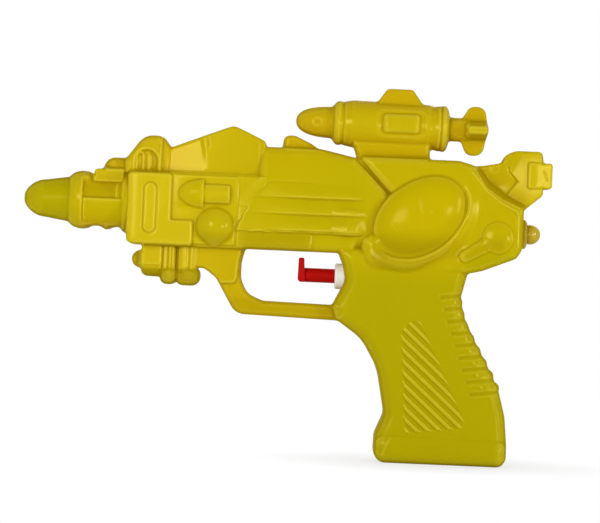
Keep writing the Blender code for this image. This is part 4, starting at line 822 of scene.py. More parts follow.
@dataclass(frozen=True)
class Scope(Feature):
    """The mock scope on its saddle: nose, tube, rings, top fin, side pad and the four vanes at its back."""

    level: float = 35.1
    lean: float = -0.8
    pivot: float = 145.0
    start: float = 107.4
    end: float = 177.0
    vane_half: float = 1.9
    profile: tuple[Spot, ...] = (
        (121.4, 6.25), (122.4, 7.2), (123.4, 8.5), (124.6, 8.9), (125.9, 8.5), (126.7, 8.75), (128.3, 9.08),
        (130.4, 9.4), (150.0, 9.4), (160.0, 9.2), (162.6, 8.68), (164.8, 9.08), (165.3, 8.85), (166.2, 9.3),
        (167.0, 9.1), (168.0, 7.8), (168.9, 4.8), (177.0, 4.7),
    )

    def radius(self, station: Array) -> Array:
        """The radius at each station: a superellipse nose, then the ringed tube and neck.

        Args:
            station: The stations asked for.

        Returns:
            The radius at each.
        """
        share = np.clip((121.4 - station) / 14.0, 0.0, 1.0)
        nose = 6.25 * (1.0 - share**2.3) ** (1.0 / 2.3)
        return np.where(station < 121.4, nose, through(self.profile, station))

    def shape(self, relief: Relief) -> None:
        """Lays the scope's features into the relief.

        Args:
            relief: The side to shape.
        """
        relief.slab(
            (133.0, 19.6, 0), (161.3, 19.6, 0), (161.3, 29.0, 0), (129.8, 29.0, 0),
            top=lambda x, z: 6.8 + 0.8 * ease((24.5 - z) / 3.0),
            rim=2.2,
        )
        relief.slab(
            (139.6, 40, 0), (158.6, 40, 0), (157.8, 44, 0), (153.6, 49.8, 1.5), (143.4, 49.8, 1.5),
            (139.8, 44.6, 0),
            top=4.2, rim=1.2,
        )
        relief.turned(self.radius, (self.start, self.end), self.level, degrees=self.lean, pivot=self.pivot)
        relief.slab(
            (173.4, 30.4, 0.8), (175.8, 24.6, 3.4), (182.2, 24.6, 3.6), (184.2, 34.6, 9),
            (182.8, 44.2, 3.6), (176.4, 44.2, 3.4), (173.6, 38.8, 0.8),
            top=self.vane_half, rim=0.8,
        )
        relief.slab(*box(176.0, 33.0, 184.0, 36.2, 0.6, 0.9, 0.9, 0.6), top=9.2, rim=1.2, fillet=0.5)
        x, z = relief.x, relief.z
        border = Outline(box(139.4, 30.2, 159.6, 41.4, 3))
        relief.sink(border.inside(x, z), 0.6, edge=2.2)
        relief.slab(
            *box(142.0, 31.8, 156.8, 39.9, 1.8),
            top=lambda x, z: 10.1 - 0.05 * (z - self.level) ** 2,
            rim=1.9, fillet=0.9,
        )
        for station, low, high in ((122.2, 28.4, 42.0), (126.3, 27.0, 43.6), (165.3, 27.0, 42.8)):
            relief.line((station, low), (station + 0.2, high), width=0.35, depth=0.3, cut=Cut.GROOVE)
        hole = np.hypot(x - 115.8, z - 35.3)
        broken = 0.6 + 0.4 * np.sin(2.0 * np.arctan2(z - 35.3, x - 115.8) + 0.6)
        relief.out += 0.22 * broken * bell(hole - 1.7, 0.75) - 0.4 * bell(hole, 0.95)


@dataclass(frozen=True)
class Handle(Feature):
    """Trigger guard and hand grip, with the ridged panel, the ribs down the back and the butt band."""

    guard_half: float = 6.6
    post_half: float = 8.0
    half: float = 12.4
    butt_half: float = 13.5
    ridge_pitch: float = 3.2
    ridge_degrees: float = -41.5
    ridge_height: float = 0.5
    ribs: int = 8
    rib_start: tuple[float, float] = (168.2, -32.5)
    rib_step: tuple[float, float] = (1.65, -4.76)
    rib_rise: float = 0.14

    def shape(self, relief: Relief) -> None:
        """Lays the guard's and the grip's features into the relief.

        Args:
            relief: The side to shape.
        """
        self.guard(relief)
        relief.slab(
            (143.7, -98.7, 4.6), (196.5, -98.7, 4), (196.5, -90, 10), (195.4, -79, 20), (192.4, -68, 8),
            (187.0, -57.6, 8), (181.7, -48.2, 8), (177.7, -40.0, 8), (175.9, -32.5, 1.5), (178.4, -22, 1),
            (178, -14, 1), (125.4, -14, 0.5), (128.5, -21.3, 6), (129.7, -27.5, 7), (124.8, -37.6, 0.5),
            (126.8, -43.2, 1.5), (137, -50.2, 18), (143.8, -61.5, 26), (147.3, -79.5, 6), (143.8, -88, 6),
            top=self.face, rim=4.6, fillet=0.9,
        )
        self.panel(relief)
        self.back_ribs(relief)
        self.butt(relief)

    def face(self, x: Array, z: Array) -> Array:
        """The grip's side: slightly crowned across, fuller at the top and thinner at the web."""
        crown = 0.9 * (1.0 - np.minimum(((x - 152.0 + 0.28 * (z + 25.0)) / 26.0) ** 2, 1.0))
        return self.half + crown - 0.5 * ease((-30.0 - z) / 30.0) + 0.4 * ease((-74.0 - z) / 12.0)

    def guard(self, relief: Relief) -> None:
        """The bow round the finger opening, with the pad on its front post."""
        relief.slab(
            (69.4, -14, 0), (69.4, -24.8, 0.8), (73.4, -25.0, 4), (78.2, -28.6, 5), (86.4, -42.6, 6.5),
            (128.2, -43.6, 1), (132.2, -38, 0), (125.2, -37.4, 0), (97.0, -36.9, 6), (90.6, -34.2, 7),
            (88.1, -28.4, 7), (88.1, -22.2, 6), (90, -14, 0),
            top=self.guard_half, rim=2.2,
        )
        relief.slab(
            (69.1, -14, 0), (69.1, -24.4, 1), (73.6, -24.7, 3), (77.8, -27.8, 2), (80, -30.6, 1),
            (86.4, -30.4, 2.2), (87.2, -21.2, 4), (88.6, -14, 0),
            top=self.post_half, rim=1.0, fillet=0.5,
        )

    def panel(self, relief: Relief) -> None:
        """Slanting ridges trimmed to a leaning panel: each is a rounded wave between sharp valleys.

        Args:
            relief: The side to shape.
        """
        trim = Outline(
            (
                (155.3, -87.4, 1), (178.6, -84.6, 2), (179.6, -81.4, 2), (168.4, -58, 12), (160.4, -42, 2),
                (156.4, -41.2, 2), (152.2, -46.4, 2),
            ),
        )
        inside = trim.inside(relief.x, relief.z)
        angle = math.radians(self.ridge_degrees)
        across = -math.sin(angle) * (relief.x - 152.0) + math.cos(angle) * (relief.z + 46.0)
        wave = 0.5 - 0.5 * np.cos(2.0 * math.pi * across / self.ridge_pitch)
        crest = ease((wave - 0.25) / 0.6) + 0.3 * wave
        relief.out += ease(inside / 1.3) * (self.ridge_height * crest - 0.25)

    def back_ribs(self, relief: Relief) -> None:
        """Rounded ribs across the grip's back: grooves part them, and each swells a little out of the edge.

        Args:
            relief: The side to shape.
        """
        edge = (
            (-100.0, 196.4), (-69.0, 192.9), (-58.5, 187.6), (-49.0, 182.2), (-40.5, 177.9), (-32.0, 175.9)
        )
        for rib in range(self.ribs + 1):
            x, z = self.rib_start[0] + rib * self.rib_step[0], self.rib_start[1] + rib * self.rib_step[1]
            relief.line((x, z), (x + 12.0, z + 12.0 * self.rib_rise), width=0.8, depth=0.6, cut=Cut.GROOVE)
            if rib == self.ribs:
                break
            middle = z + 0.5 * self.rib_step[1] + 8.0 * self.rib_rise
            back = through(edge, np.array([middle]))[0]
            tall = 0.44 * abs(self.rib_step[1])
            relief.slab(
                (back - 6.0, middle - tall - 1.0, 0),
                (back + 1.1, middle - tall, tall), (back - 0.3, middle + tall, tall),
                (back - 6.0, middle + tall - 1.0, 0),
                top=8.6, rim=1.6,
            )
            spot = (x + 5.4, z - 1.4)
            relief.line(spot, (spot[0] + 0.2, spot[1] - 0.4), width=0.55, depth=0.24, cut=Cut.RIDGE)

    def butt(self, relief: Relief) -> None:
        """The flared band round the foot of the grip and the crease at its front corner."""
        relief.slab(
            (143.9, -99.0, 4.4), (196.3, -99.0, 3.8), (196.2, -88.6, 4), (144.1, -88.0, 4),
            top=self.butt_half, rim=3.8, fillet=3.0,
        )
        relief.line((147.3, -95.6), (150.2, -88.8), width=0.8, depth=0.25, cut=Cut.RIDGE)


@dataclass(frozen=True)
class Tank:
    """What is hollow behind the parting plane: the tank, and the bores for jet, pump and filler.

    A bore has its first and last station, its level and its radius.
    """

    wall: float = 2.2
    inset: float = 2.6
    mouth_wall: float = 0.05
    bore_wall: float = 0.55
    bores: tuple[tuple[float, float, float, float], ...] = (
        (-2.0, 9.0, 0.3, 2.2), (6.0, 14.0, 0.3, 4.6), (120.0, 133.0, -25.9, 5.4),
        (131.1, 168.0, -25.9, 7.8), (186.0, 197.5, -5.9, 6.2), (190.0, 204.0, -5.9, 5.0),
    )

    def depth(self, relief: Relief) -> Array:
        """How far out the hollow goes: the moulding less its wall, or a bore's half circle.

        Args:
            relief: The moulding's outer side.

        Returns:
            The hollow's height out of the parting plane, zero where there is none.
        """
        hollow = np.where(relief.reach > self.inset, np.maximum(relief.out - self.wall, 0.0), 0.0)
        for first, last, level, radius in self.bores:
            half = np.sqrt(np.maximum(radius**2 - (relief.z - level) ** 2, 0.0))
            hollow = np.where((relief.x > first) & (relief.x < last), np.maximum(hollow, half), hollow)
        thin = self.mouth_wall + self.bore_wall * ease((relief.x - 0.5) / 2.5)
        return np.maximum(np.minimum(hollow, relief.out - thin), 0.0)


def mesh_object(name: str, points: Array, triangles: Array) -> bpy.types.Object:
    """A smooth-shaded object from whole arrays.

    Args:
        name: The piece's name.
        points: Vertex places in metres.
        triangles: Three vertex numbers per face.

    Returns:
        The object, at the origin.
    """
    mesh = bpy.data.meshes.new(name)
    mesh.vertices.add(len(points))
    mesh.vertices.foreach_set("co", points.astype(np.float32).ravel())
    mesh.loops.add(3 * len(triangles))
    mesh.loops.foreach_set("vertex_index", triangles.astype(np.int32).ravel())
    mesh.polygons.add(len(triangles))
    mesh.polygons.foreach_set("loop_start", np.arange(0, 3 * len(triangles), 3, dtype=np.int32))
    mesh.update(calc_edges=True)
    mesh.validate()
    mesh.shade_smooth()
    made = bpy.data.objects.new(name, mesh)
    bpy.context.scene.collection.objects.link(made)
    return made


def triangulate(points: Array, edges: Array) -> tuple[Array, Array, Array]:
    """Delaunay triangles that keep the given edges.

    Args:
        points: Flat places.
        edges: Pairs of point numbers.

    Returns:
        The places, the triangles turned anticlockwise, and where each given point went.
    """
    flat = [Vector(spot) for spot in points.tolist()]
    found = geometry.delaunay_2d_cdt(flat, edges.tolist(), [], 0, 1e-7, True)
    places = np.array([tuple(spot) for spot in found[0]])
    triangles = np.array(found[2])
    went = np.zeros(len(points), int)
    for new, olds in enumerate(found[3]):
        went[list(olds)] = new
    a, b, c = (places[triangles[:, k]] for k in range(3))
    turned = (b[:, 0] - a[:, 0]) * (c[:, 1] - a[:, 1]) - (b[:, 1] - a[:, 1]) * (c[:, 0] - a[:, 0])
    triangles[turned < 0] = triangles[turned < 0][:, ::-1]
    return places, triangles[np.abs(turned) > 1e-12], went


Edge = tuple[float, float]


@dataclass(frozen=True)
class Zone:
    """A soft-edged part of a moulded half: behind, ahead of, above and below, outside and within its edges.

    An edge is a place and the distance over which the zone fades in from there, to most in its middle.
    Outside and within are distances from the parting plane.
    """

    behind: Optional[Edge] = None
    ahead: Optional[Edge] = None
    above: Optional[Edge] = None
    below: Optional[Edge] = None
    outside: Optional[Edge] = None
    within: Optional[Edge] = None
    most: float = 1.0

    def share(self, points: Array) -> Array:
        """How far points lie in the zone.

        Args:
            points: Points (station, out, level).

        Returns:
            The zone's share at each: most times one smooth step for every edge.
        """
        x, out, z = points.T
        rising = ((self.behind, x), (self.above, z), (self.outside, out))
        falling = ((self.ahead, x), (self.below, z), (self.within, out))
        found = np.full(len(points), self.most)
        for way, edges in ((1.0, rising), (-1.0, falling)):
            for edge, place in edges:
                if edge:
                    found = found * ease(way * (place - edge[0]) / edge[1])
        return found


@dataclass(frozen=True)
class Marks:
    """Where a half is painted with light and shade, and where its plastic has another tone, for its finish
    to read.
    """

    # A painted warm glow of light through the thin plastic near the parting plane, mostly taken off the rear
    # fin.
    thin: Zone = Zone(behind=(20.0, 8.0), within=(11.5, 7.0))
    less_glow_fin: Zone = Zone(behind=(176.0, 4.0), below=(28.4, 1.0), most=0.7)
    # Where the dull, darker and greener yellow lies: painted shade on the grip and on the pipes' feet, which
    # curve under, a darker tone of the plastic on the nose, and darker at the lower back.
    grip: Zone = Zone(behind=(112.0, 24.0), below=(-14.0, 16.0))
    nose: Zone = Zone(ahead=(20.5, 4.0))
    feet: Zone = Zone(ahead=(72.0, 1.5), below=(-24.6, 2.0))
    back: Zone = Zone(behind=(172.0, 10.0), below=(-11.5, 6.0))
    # Where the pale, lighter yellow lies: a lighter tone at the front and the scope, and a painted sheen on
    # the block on the rear fin.
    front: Zone = Zone(behind=(40.0, 3.0), ahead=(100.0, 40.0), above=(-34.0, 10.0))
    fin_block: Zone = Zone(behind=(198.0, 5.0), above=(4.0, 3.0))
    scope: Zone = Zone(behind=(104.0, 2.0), ahead=(172.0, 4.0), above=(26.0, 3.0), most=0.4)
    egg: Zone = Zone(behind=(138.0, 3.0), ahead=(181.0, 2.0), outside=(14.6, 1.5), most=0.6)
    bullet: Zone = Zone((61.5, 1.0), (73.5, 1.0), (-2.0, 1.0), (11.0, 1.0), most=0.85)
    ball: Oval = Receiver.ball
    ball_edge: float = 0.12
    ball_shine: float = 0.75
    # Zones of painted shade, with the feet: the ball's lower half, the rail under the vent's overhang, the
    # egg's lower lip, the underside of the guard's bow and the neck's recess.
    ball_foot: Zone = Zone(below=(-9.0, 4.0), most=0.4)
    rail: Zone = Zone((83.0, 8.0), (119.0, 8.0), (-19.0, 2.0), (-9.2, 0.8), most=0.5)
    egg_lip: Zone = Zone(behind=(138.0, 3.0), below=(-5.0, 8.0), outside=(13.6, 2.0), most=0.7)
    bow: Zone = Zone(behind=(82.0, 3.0), ahead=(130.0, 4.0), below=(-35.0, 2.0), most=0.4)
    neck: Zone = Zone((24.0, 0.8), (36.6, 0.8), (0.9, 0.5), (7.0, 2.0), most=0.4)
    rubbed: Zone = Zone(behind=(100.0, 10.0))
    rubbed_height: float = 0.06

    def most(self, points: Array, *zones: Zone) -> Array:
        """The largest share that any of the zones has at each point."""
        return np.max([zone.share(points) for zone in zones], axis=0)

    def read(self, points: Array, crevice: Array, proud: Array, steep: Array) -> dict[str, Array]:
        """What the finish reads at each point.

        Args:
            points: Points (station, out, level).
            crevice: How far each lies below its wide surroundings.
            proud: How far each lies above its near surroundings.
            steep: 0 where the face is square to the side, 1 on a wall.

        Returns:
            Those three, which drive painted shade and painted highlights; thin, a painted warm glow of light
            through the plastic, which grows where the wall is near the parting plane; dull, a darker,
            greener yellow on the nose, the pipes' feet, the grip and the lower back: painted shade on the
            grip and the feet, which curve under, and a darker tone of the plastic on the nose; matte, the
            same with egg and bullet but without the grip's rubbed crests; pale, a lighter tone at the front
            and the scope and a painted sheen on the block on the rear fin; and deep, painted shade on faces
            that look down, under overhangs and in recesses.
        """
        # A painted warm glow of light through thin plastic, less on the rear fin.
        thin = self.thin.share(points) * (1.0 - self.less_glow_fin.share(points))
        # Dull: painted shade on the grip and the feet, a darker tone of the plastic on the nose, darker at
        # the lower back.
        dull = self.most(points, self.grip, self.nose, self.feet, self.back)
        ball = ease((1.0 - self.ball.across(points[:, 0], points[:, 2])) / self.ball_edge)
        bullet = self.bullet.share(points)
        # Pale: a lighter tone at the front and the scope and a painted sheen on the rear fin's block; less
        # of it on the ball and the bullet, which shine.
        pale = self.most(points, self.front, self.fin_block, self.scope)
        pale = pale * (1.0 - self.ball_shine * np.maximum(ball, bullet))
        crests = ease(proud / self.rubbed_height) * self.rubbed.share(points)
        matte = np.max((dull * (1.0 - crests), self.egg.share(points), bullet), axis=0)
        # Painted shade on the feet, the rail under the vent, below the egg, under the guard, in the neck's
        # recess and on the ball's lower half.
        painted_shade = self.most(points, self.feet, self.rail, self.egg_lip, self.bow, self.neck)
        painted_shade = np.maximum(painted_shade, ball * self.ball_foot.share(points))
        read = {"crevice": crevice, "proud": proud, "steep": steep}
        return read | {"thin": thin, "dull": dull, "matte": matte, "pale": pale, "painted_shade": painted_shade}


@dataclass(frozen=True)
class Silhouette:
    """The closed lines round a moulded half.

    Attributes:
        spots: Its points (station, level).
        pairs: Its edges, as pairs of point numbers.
        inward: Unit vectors that point into the moulding.
    """

    spots: Array
    pairs: Array
    inward: Array

    def row(self, depth: float) -> Array:
        """The line drawn in by a depth."""
        return self.spots + self.inward * depth

    def soften(self, values: Array, times: int = 4) -> Array:
        """Evens values out along the line: each takes half of its neighbours' mean.

        Args:
            values: A row of values for each point.
            times: How often it is done.

        Returns:
            The evened values.
        """
        first, second = self.pairs.T
        count = np.bincount(self.pairs.ravel(), minlength=len(values))[:, None]
        for _ in range(times):
            total = np.zeros_like(values)
            np.add.at(total, first, values[second])
            np.add.at(total, second, values[first])
            values = 0.5 * values + 0.5 * total / np.maximum(count, 1)
        return values

    def softened(self) -> "Silhouette":
        """The line with its points and its way in evened out, the latter again of unit length."""
        inward = self.soften(self.inward)
        return Silhouette(self.soften(self.spots), self.pairs, inward / np.hypot(*inward.T)[:, None])


@dataclass
class Moulding:
    """The two moulded halves: every feature's relief, laid on a mesh that follows the silhouette.

    Attributes:
        coarse: On flat places the face keeps one grid point in this many.
        bend: The change of slope over a grid step, as a height, past which a place isn't flat.
        seam: The bevel along the parting line.
        wall_rows: How far in the rows of points on the upright wall lie.
        rim_rows: How far in the rows on the rounded rim lie.
        least_wall: The least height of that wall at the muzzle's mouth, and how much it grows behind it.
        lip_rows: How far in the rows at the tank's brink lie.
    """

    features: tuple[Feature, ...] = (Barrel(), Receiver(), FrontBlock(), Scope(), Housing(), Handle())
    tank: Tank = Tank()
    marks: Marks = Marks()
    left: float = -1.5
    right: float = 212.5
    low: float = -101.0
    high: float = 51.5
    grid_step: float = 0.355
    coarse: int = 3
    bend: float = 0.028
    seam: float = 0.16
    wall_rows: tuple[float, ...] = (0.0, 0.02, 0.04, 0.06)
    rim_rows: tuple[float, ...] = (0.12, 0.24, 0.45, 0.75, 1.1)
    least_wall: tuple[float, float] = (0.05, 0.35)
    least_face: float = 0.6
    hollow_step: float = 1.5
    lip_rows: tuple[float, ...] = (1.85, 1.95)
    wave: float = 0.05

    def relief(self, x: Array, z: Array) -> Relief:
        """Lays every feature in turn, then the faint waves of a moulding, a sum of products of sines.

        Args:
            x: Stations.
            z: Levels.

        Returns:
            The relief over these points.
        """
        relief = Relief(x, z)
        for feature in self.features:
            feature.shape(relief)
        wave = np.sin(0.31 * x + 0.9) * np.sin(0.27 * z) + 0.6 * np.sin(0.13 * x - 0.21 * z)
        relief.out += self.wave * wave * ease(relief.reach / 3.0)
        return relief

    def grid(self, step: float) -> tuple[Array, Array]:
        """Stations and levels of a square grid over the drawing."""
        return np.meshgrid(np.arange(self.left, self.right, step), np.arange(self.low, self.high, step))

    def crossings(self, x: Array, z: Array, reach: Array) -> tuple[Array, Array]:
        """The line where reach is zero.

        Args:
            x: Grid stations.
            z: Grid levels.
            reach: The distance inside the silhouette on the grid.

        Returns:
            Places where grid lines cross the silhouette, and pairs that share a grid cell.
        """
        rows, columns = reach.shape
        inside = reach > 0
        flat_number = np.full((rows, columns - 1), -1)
        tall_number = np.full((rows - 1, columns), -1)
        flat_cross = inside[:, :-1] != inside[:, 1:]
        tall_cross = inside[:-1] != inside[1:]
        count = int(flat_cross.sum())
        flat_number[flat_cross] = np.arange(count)
        tall_number[tall_cross] = count + np.arange(int(tall_cross.sum()))

        def crossing(first: tuple[slice, slice], second: tuple[slice, slice], chosen: Array) -> Array:
            """Where reach passes zero between neighbouring grid points.

            Args:
                first: The slices that give the points on one side.
                second: The slices that give their neighbours.
                chosen: Where it does so.

            Returns:
                The places.
            """
            near, far = reach[first][chosen], reach[second][chosen]
            share = near / (near - far)
            start = np.column_stack((x[first][chosen], z[first][chosen]))
            end = np.column_stack((x[second][chosen], z[second][chosen]))
            return start + share[:, None] * (end - start)

        every, but_last, but_first = slice(None), slice(None, -1), slice(1, None)
        spots = np.vstack(
            (
                crossing((every, but_last), (every, but_first), flat_cross),
                crossing((but_last, every), (but_first, every), tall_cross),
            ),
        )
        around = np.stack((flat_number[:-1], tall_number[:, 1:], flat_number[1:], tall_number[:, :-1]), -1)
        around = around.reshape(-1, 4)
        crossed = (around >= 0).sum(1)
        pairs = [np.sort(around[crossed == 2], 1)[:, 2:]]
        saddles = around[crossed == 4]
        pairs += [saddles[:, :2], saddles[:, 2:]]
        return spots, np.vstack(pairs)

    def tidy_line(self, spots: Array, pairs: Array, short: float) -> tuple[Array, Array]:
        """Merges neighbours on the silhouette.

        Args:
            spots: Its points.
            pairs: Its edges.
            short: The length under which an edge is merged.

        Returns:
            The points and edges that are left.
        """
        gap = np.hypot(*(spots[pairs[:, 0]] - spots[pairs[:, 1]]).T)
        goes = np.arange(len(spots))
        close = pairs[gap < short]
        goes[close.max(1)] = close.min(1)
        goes = goes[goes]
        used, number = np.unique(goes, return_inverse=True)
        pairs = number[pairs]
        return spots[used], np.unique(np.sort(pairs[pairs[:, 0] != pairs[:, 1]], 1), axis=0)

    def settle(self, spots: Array) -> tuple[Array, Array]:
        """Moves points onto the silhouette and finds the way in from each.

        Args:
            spots: Points near the silhouette.

        Returns:
            The points on it, and unit vectors pointing inwards.
        """
        tiny, farthest, least_slope = 0.02, 0.15, 0.04
        shifts = np.array(((0, 0), (tiny, 0), (-tiny, 0), (0, tiny), (0, -tiny)))
        for _ in range(2):
            around = (spots[None] + shifts[:, None]).reshape(-1, 2)
            reach = self.relief(around[:, 0], around[:, 1]).reach.reshape(5, -1)
            slope = np.column_stack((reach[1] - reach[2], reach[3] - reach[4])) / (2 * tiny)
            steep = np.maximum((slope**2).sum(1), least_slope)
            spots = spots + np.clip(-(reach[0] / steep)[:, None] * slope, -farthest, farthest)
        return spots, slope / np.sqrt(np.maximum((slope**2).sum(1), 1e-9))[:, None]

    def silhouette(self, x: Array, z: Array, reach: Array) -> Silhouette:
        """Finds the lines round the half.

        Args:
            x: Grid stations.
            z: Grid levels.
            reach: The distance inside the silhouette on the grid.

        Returns:
            Its even lines, with no short edges.
        """
        spots, pairs = self.tidy_line(*self.crossings(x, z, reach), 0.3 * self.grid_step)
        spots, inward = self.settle(spots)
        return Silhouette(spots, pairs, inward).softened()

    def build(self) -> tuple[Array, Array, Array, Array]:
        """Works out one half's mesh.

        Returns:
            Points (station, out, level), triangles that face out for the half at negative Y, and for each
            point how far it lies below its wide surroundings and above its near ones.
        """
        x, z = self.grid(self.grid_step)
        base = self.relief(x.ravel(), z.ravel())
        base_out, reach = base.out.reshape(x.shape), base.reach.reshape(x.shape)
        line = self.silhouette(x, z, reach)
        flat, triangles, wall = self.face(line, self.inner_spots(x, z, base, line.spots))
        relief = self.relief(*flat.T)
        skin = np.column_stack((flat[:, 0], self.heights(relief, line, wall), flat[:, 1]))
        # Crevice and proud drive the finish's painted shade in hollows and grooves and its painted
        # highlights on raised places and edges.
        crevice = self.crevice(base_out, reach > 0, flat, 6) * ease(relief.reach / 0.7)
        proud = -self.crevice(base_out, reach > 0, flat, 1) * ease((relief.reach - 0.5) / 1.2)
        back, back_triangles, joint = self.parting(line)
        points = np.vstack((skin, back))
        bevel = self.bevel(points, line, wall[0], joint + len(skin))
        faces = np.vstack((triangles, back_triangles[:, ::-1] + len(skin), bevel))
        hidden = np.zeros(len(back))
        return points, faces, np.concatenate((crevice, hidden)), np.concatenate((proud, hidden))

    def face(self, line: Silhouette, inner: Array) -> tuple[Array, Array, Array]:
        """Meshes the outer face in the drawing: rows along the silhouette, then the inner points.

        Args:
            line: The silhouette.
            inner: The points inside those rows.

        Returns:
            Flat places, anticlockwise triangles, and the point numbers of each wall row.
        """
        rows = len(self.wall_rows)
        walls = np.vstack([line.row(depth) for depth in self.wall_rows])
        room = self.relief(*line.row(self.rim_rows[-1]).T).reach > 0.8 * self.rim_rows[-1]
        rim = np.vstack([line.row(depth)[room] for depth in self.rim_rows])
        chains = np.vstack([line.pairs + row * len(line.spots) for row in range(rows)])
        flat, triangles, went = triangulate(np.vstack((walls, rim, inner)), chains)
        wall = went[: len(walls)].reshape(rows, -1)
        return flat, self.drop_outside(flat, triangles, wall[0], 0.0), wall

    def heights(self, relief: Relief, line: Silhouette, wall: Array) -> Array:
        """How far out the outer face stands.

        Args:
            relief: The relief over the face's points.
            line: The silhouette.
            wall: The point numbers of each wall row.

        Returns:
            The relief's height, and on the wall rows a straight rise from the seam or a bore's edge to it.
        """
        behind = np.maximum(self.tank.depth(relief), self.seam)
        share = np.clip(relief.reach / self.wall_rows[-1], 0.0, 1.0)
        out = behind + (np.maximum(relief.out, behind + sum(self.least_wall)) - behind) * share
        out = np.where(share < 1.0, out, np.maximum(relief.out, self.least_face))
        foot = behind[wall[0]]
        least = foot + self.least_wall[0] + self.least_wall[1] * ease((line.spots[:, 0] - 0.5) / 2.0)
        brow = line.soften(np.maximum(relief.out[wall[-1]], least)[:, None])[:, 0]
        for row, depth in zip(wall, self.wall_rows):
            out[row] = foot + (brow - foot) * depth / self.wall_rows[-1]
        return out

    def bevel(self, points: Array, line: Silhouette, ring: Array, joint: Array) -> Array:
        """Joins the outer face to the parting plane by a narrow bevel.

        Args:
            points: Points (station, out, level) of the half.
            line: The silhouette.
            ring: The numbers of its points on the outer face.
            joint: The numbers of its points at the parting plane.

        Returns:
            Triangles that look away from the moulding.
        """
        first, second = line.pairs.T
        strip = np.vstack(
            (
                np.column_stack((ring[first], joint[first], joint[second])),
                np.column_stack((ring[first], joint[second], ring[second])),
            ),
        )
        a, b, c = (points[strip[:, k]] * (1.0, -1.0, 1.0) for k in range(3))
        normal = np.cross(b - a, c - a)
        way = line.inward[np.concatenate((first, first))]
        wrong = normal[:, 0] * way[:, 0] + normal[:, 2] * way[:, 1] > 0
        strip[wrong] = strip[wrong][:, ::-1]
        return strip

    def inner_spots(self, x: Array, z: Array, base: Relief, line: Array) -> Array:
        """Grid points for the face: all of them where it bends, and few where it is flat.

        Args:
            x: Grid stations.
            z: Grid levels.
            base: The relief over the grid.
            line: The silhouette.

        Returns:
            Points that keep clear of the rows along the silhouette.
        """
        out = np.where(base.reach > 0, base.out, 0.0).reshape(x.shape)
        bend = np.zeros(x.shape)
        for axis in (0, 1):
            second = np.abs(np.roll(out, 1, axis) - 2.0 * out + np.roll(out, -1, axis))
            bend = np.maximum(bend, second)
        for axis in (0, 1):
            bend = np.maximum(bend, np.maximum(np.roll(bend, 1, axis), np.roll(bend, -1, axis)))
        chosen = bend > self.bend
        chosen[:: self.coarse, :: self.coarse] = True
        chosen &= base.reach.reshape(x.shape) > 0.3
        spots = np.column_stack((x[chosen], z[chosen]))
        close = base.reach.reshape(x.shape)[chosen] < 2.5
        clear = np.full(len(spots), FAR)
        clear[close] = self.nearest(spots[close], line)
        return spots[clear > self.rim_rows[-1] + 0.25]

    def parting(self, line: Silhouette) -> tuple[Array, Array, Array]:
        """The side at the parting plane, with the hollow tank and the bores in it.

        Args:
            line: The silhouette.

        Returns:
            Points (station, out, level), anticlockwise triangles, and where each silhouette point went.
        """
        brink = line.row(self.seam)
        x, z = self.grid(self.hollow_step)
        inner = np.column_stack((x.ravel(), z.ravel()))
        inner = inner[self.relief(*inner.T).reach > 0.3]
        inner = inner[self.nearest(inner, line.spots) > 0.8]
        lips = [line.row(depth) for depth in self.lip_rows]
        lips = [lip[self.relief(*lip.T).reach > 1.7] for lip in lips]
        flat, triangles, went = triangulate(np.vstack((brink, *lips, inner)), line.pairs)
        joint = went[: len(brink)]
        triangles = self.drop_outside(flat, triangles, joint, self.seam)
        out = self.tank.depth(self.relief(flat[:, 0], flat[:, 1]))
        return np.column_stack((flat[:, 0], out, flat[:, 1])), triangles, joint

    def drop_outside(self, flat: Array, triangles: Array, ring: Array, least: float) -> Array:
        """Leaves out the triangles that only bridge the silhouette's hollows and holes.

        Args:
            flat: Flat places.
            triangles: Triangles over them.
            ring: The numbers of the points on the outermost line.
            least: How far inside the silhouette that line lies.

        Returns:
            The triangles that are left.
        """
        edge = np.zeros(len(flat), bool)
        edge[ring] = True
        doubtful = edge[triangles].all(1)
        middle = flat[triangles[doubtful]].mean(1)
        outside = self.relief(middle[:, 0], middle[:, 1]).reach < 0.5 * least
        keep = np.ones(len(triangles), bool)
        keep[np.flatnonzero(doubtful)[outside]] = False
        return triangles[keep]

    def nearest(self, spots: Array, line: Array) -> Array:
        """The distance of each spot to the nearest point of a line, in slices to save memory."""
        slices = np.array_split(spots, max(1, len(spots) // 600))
        return np.concatenate([np.sqrt(((part[:, None] - line) ** 2).sum(2).min(1)) for part in slices])

    def crevice(self, out: Array, inside: Array, flat: Array, half: int) -> Array:
        """How far each place lies below the mean of its surroundings.

        Args:
            out: Heights on the grid.
            inside: Where the grid is on the moulding.
            flat: The places asked for.
            half: How many grid steps the surroundings reach, in each of the two running means.

        Returns:
            The mean height of the surroundings less the own height.
        """
        held = np.where(inside, out, 0.0)
        weight = inside.astype(float)
        for axis in (0, 1):
            held, weight = self.blur(held, axis, half), self.blur(weight, axis, half)
        hollow = np.where(inside, held / np.maximum(weight, 0.05) - out, 0.0)
        column = np.clip(np.rint((flat[:, 0] - self.left) / self.grid_step).astype(int), 0, out.shape[1] - 1)
        row = np.clip(np.rint((flat[:, 1] - self.low) / self.grid_step).astype(int), 0, out.shape[0] - 1)
        return hollow[row, column]

    def blur(self, values: Array, axis: int, half: int) -> Array:
        """A running mean along one axis of a grid, twice.

        Args:
            values: The grid.
            axis: The axis.
            half: How many steps the mean takes in on each side.

        Returns:
            The blurred grid.
        """
        for _ in range(2):
            total = sum(np.roll(values, shift, axis) for shift in range(-half, half + 1))
            values = total / (2 * half + 1)
        return values

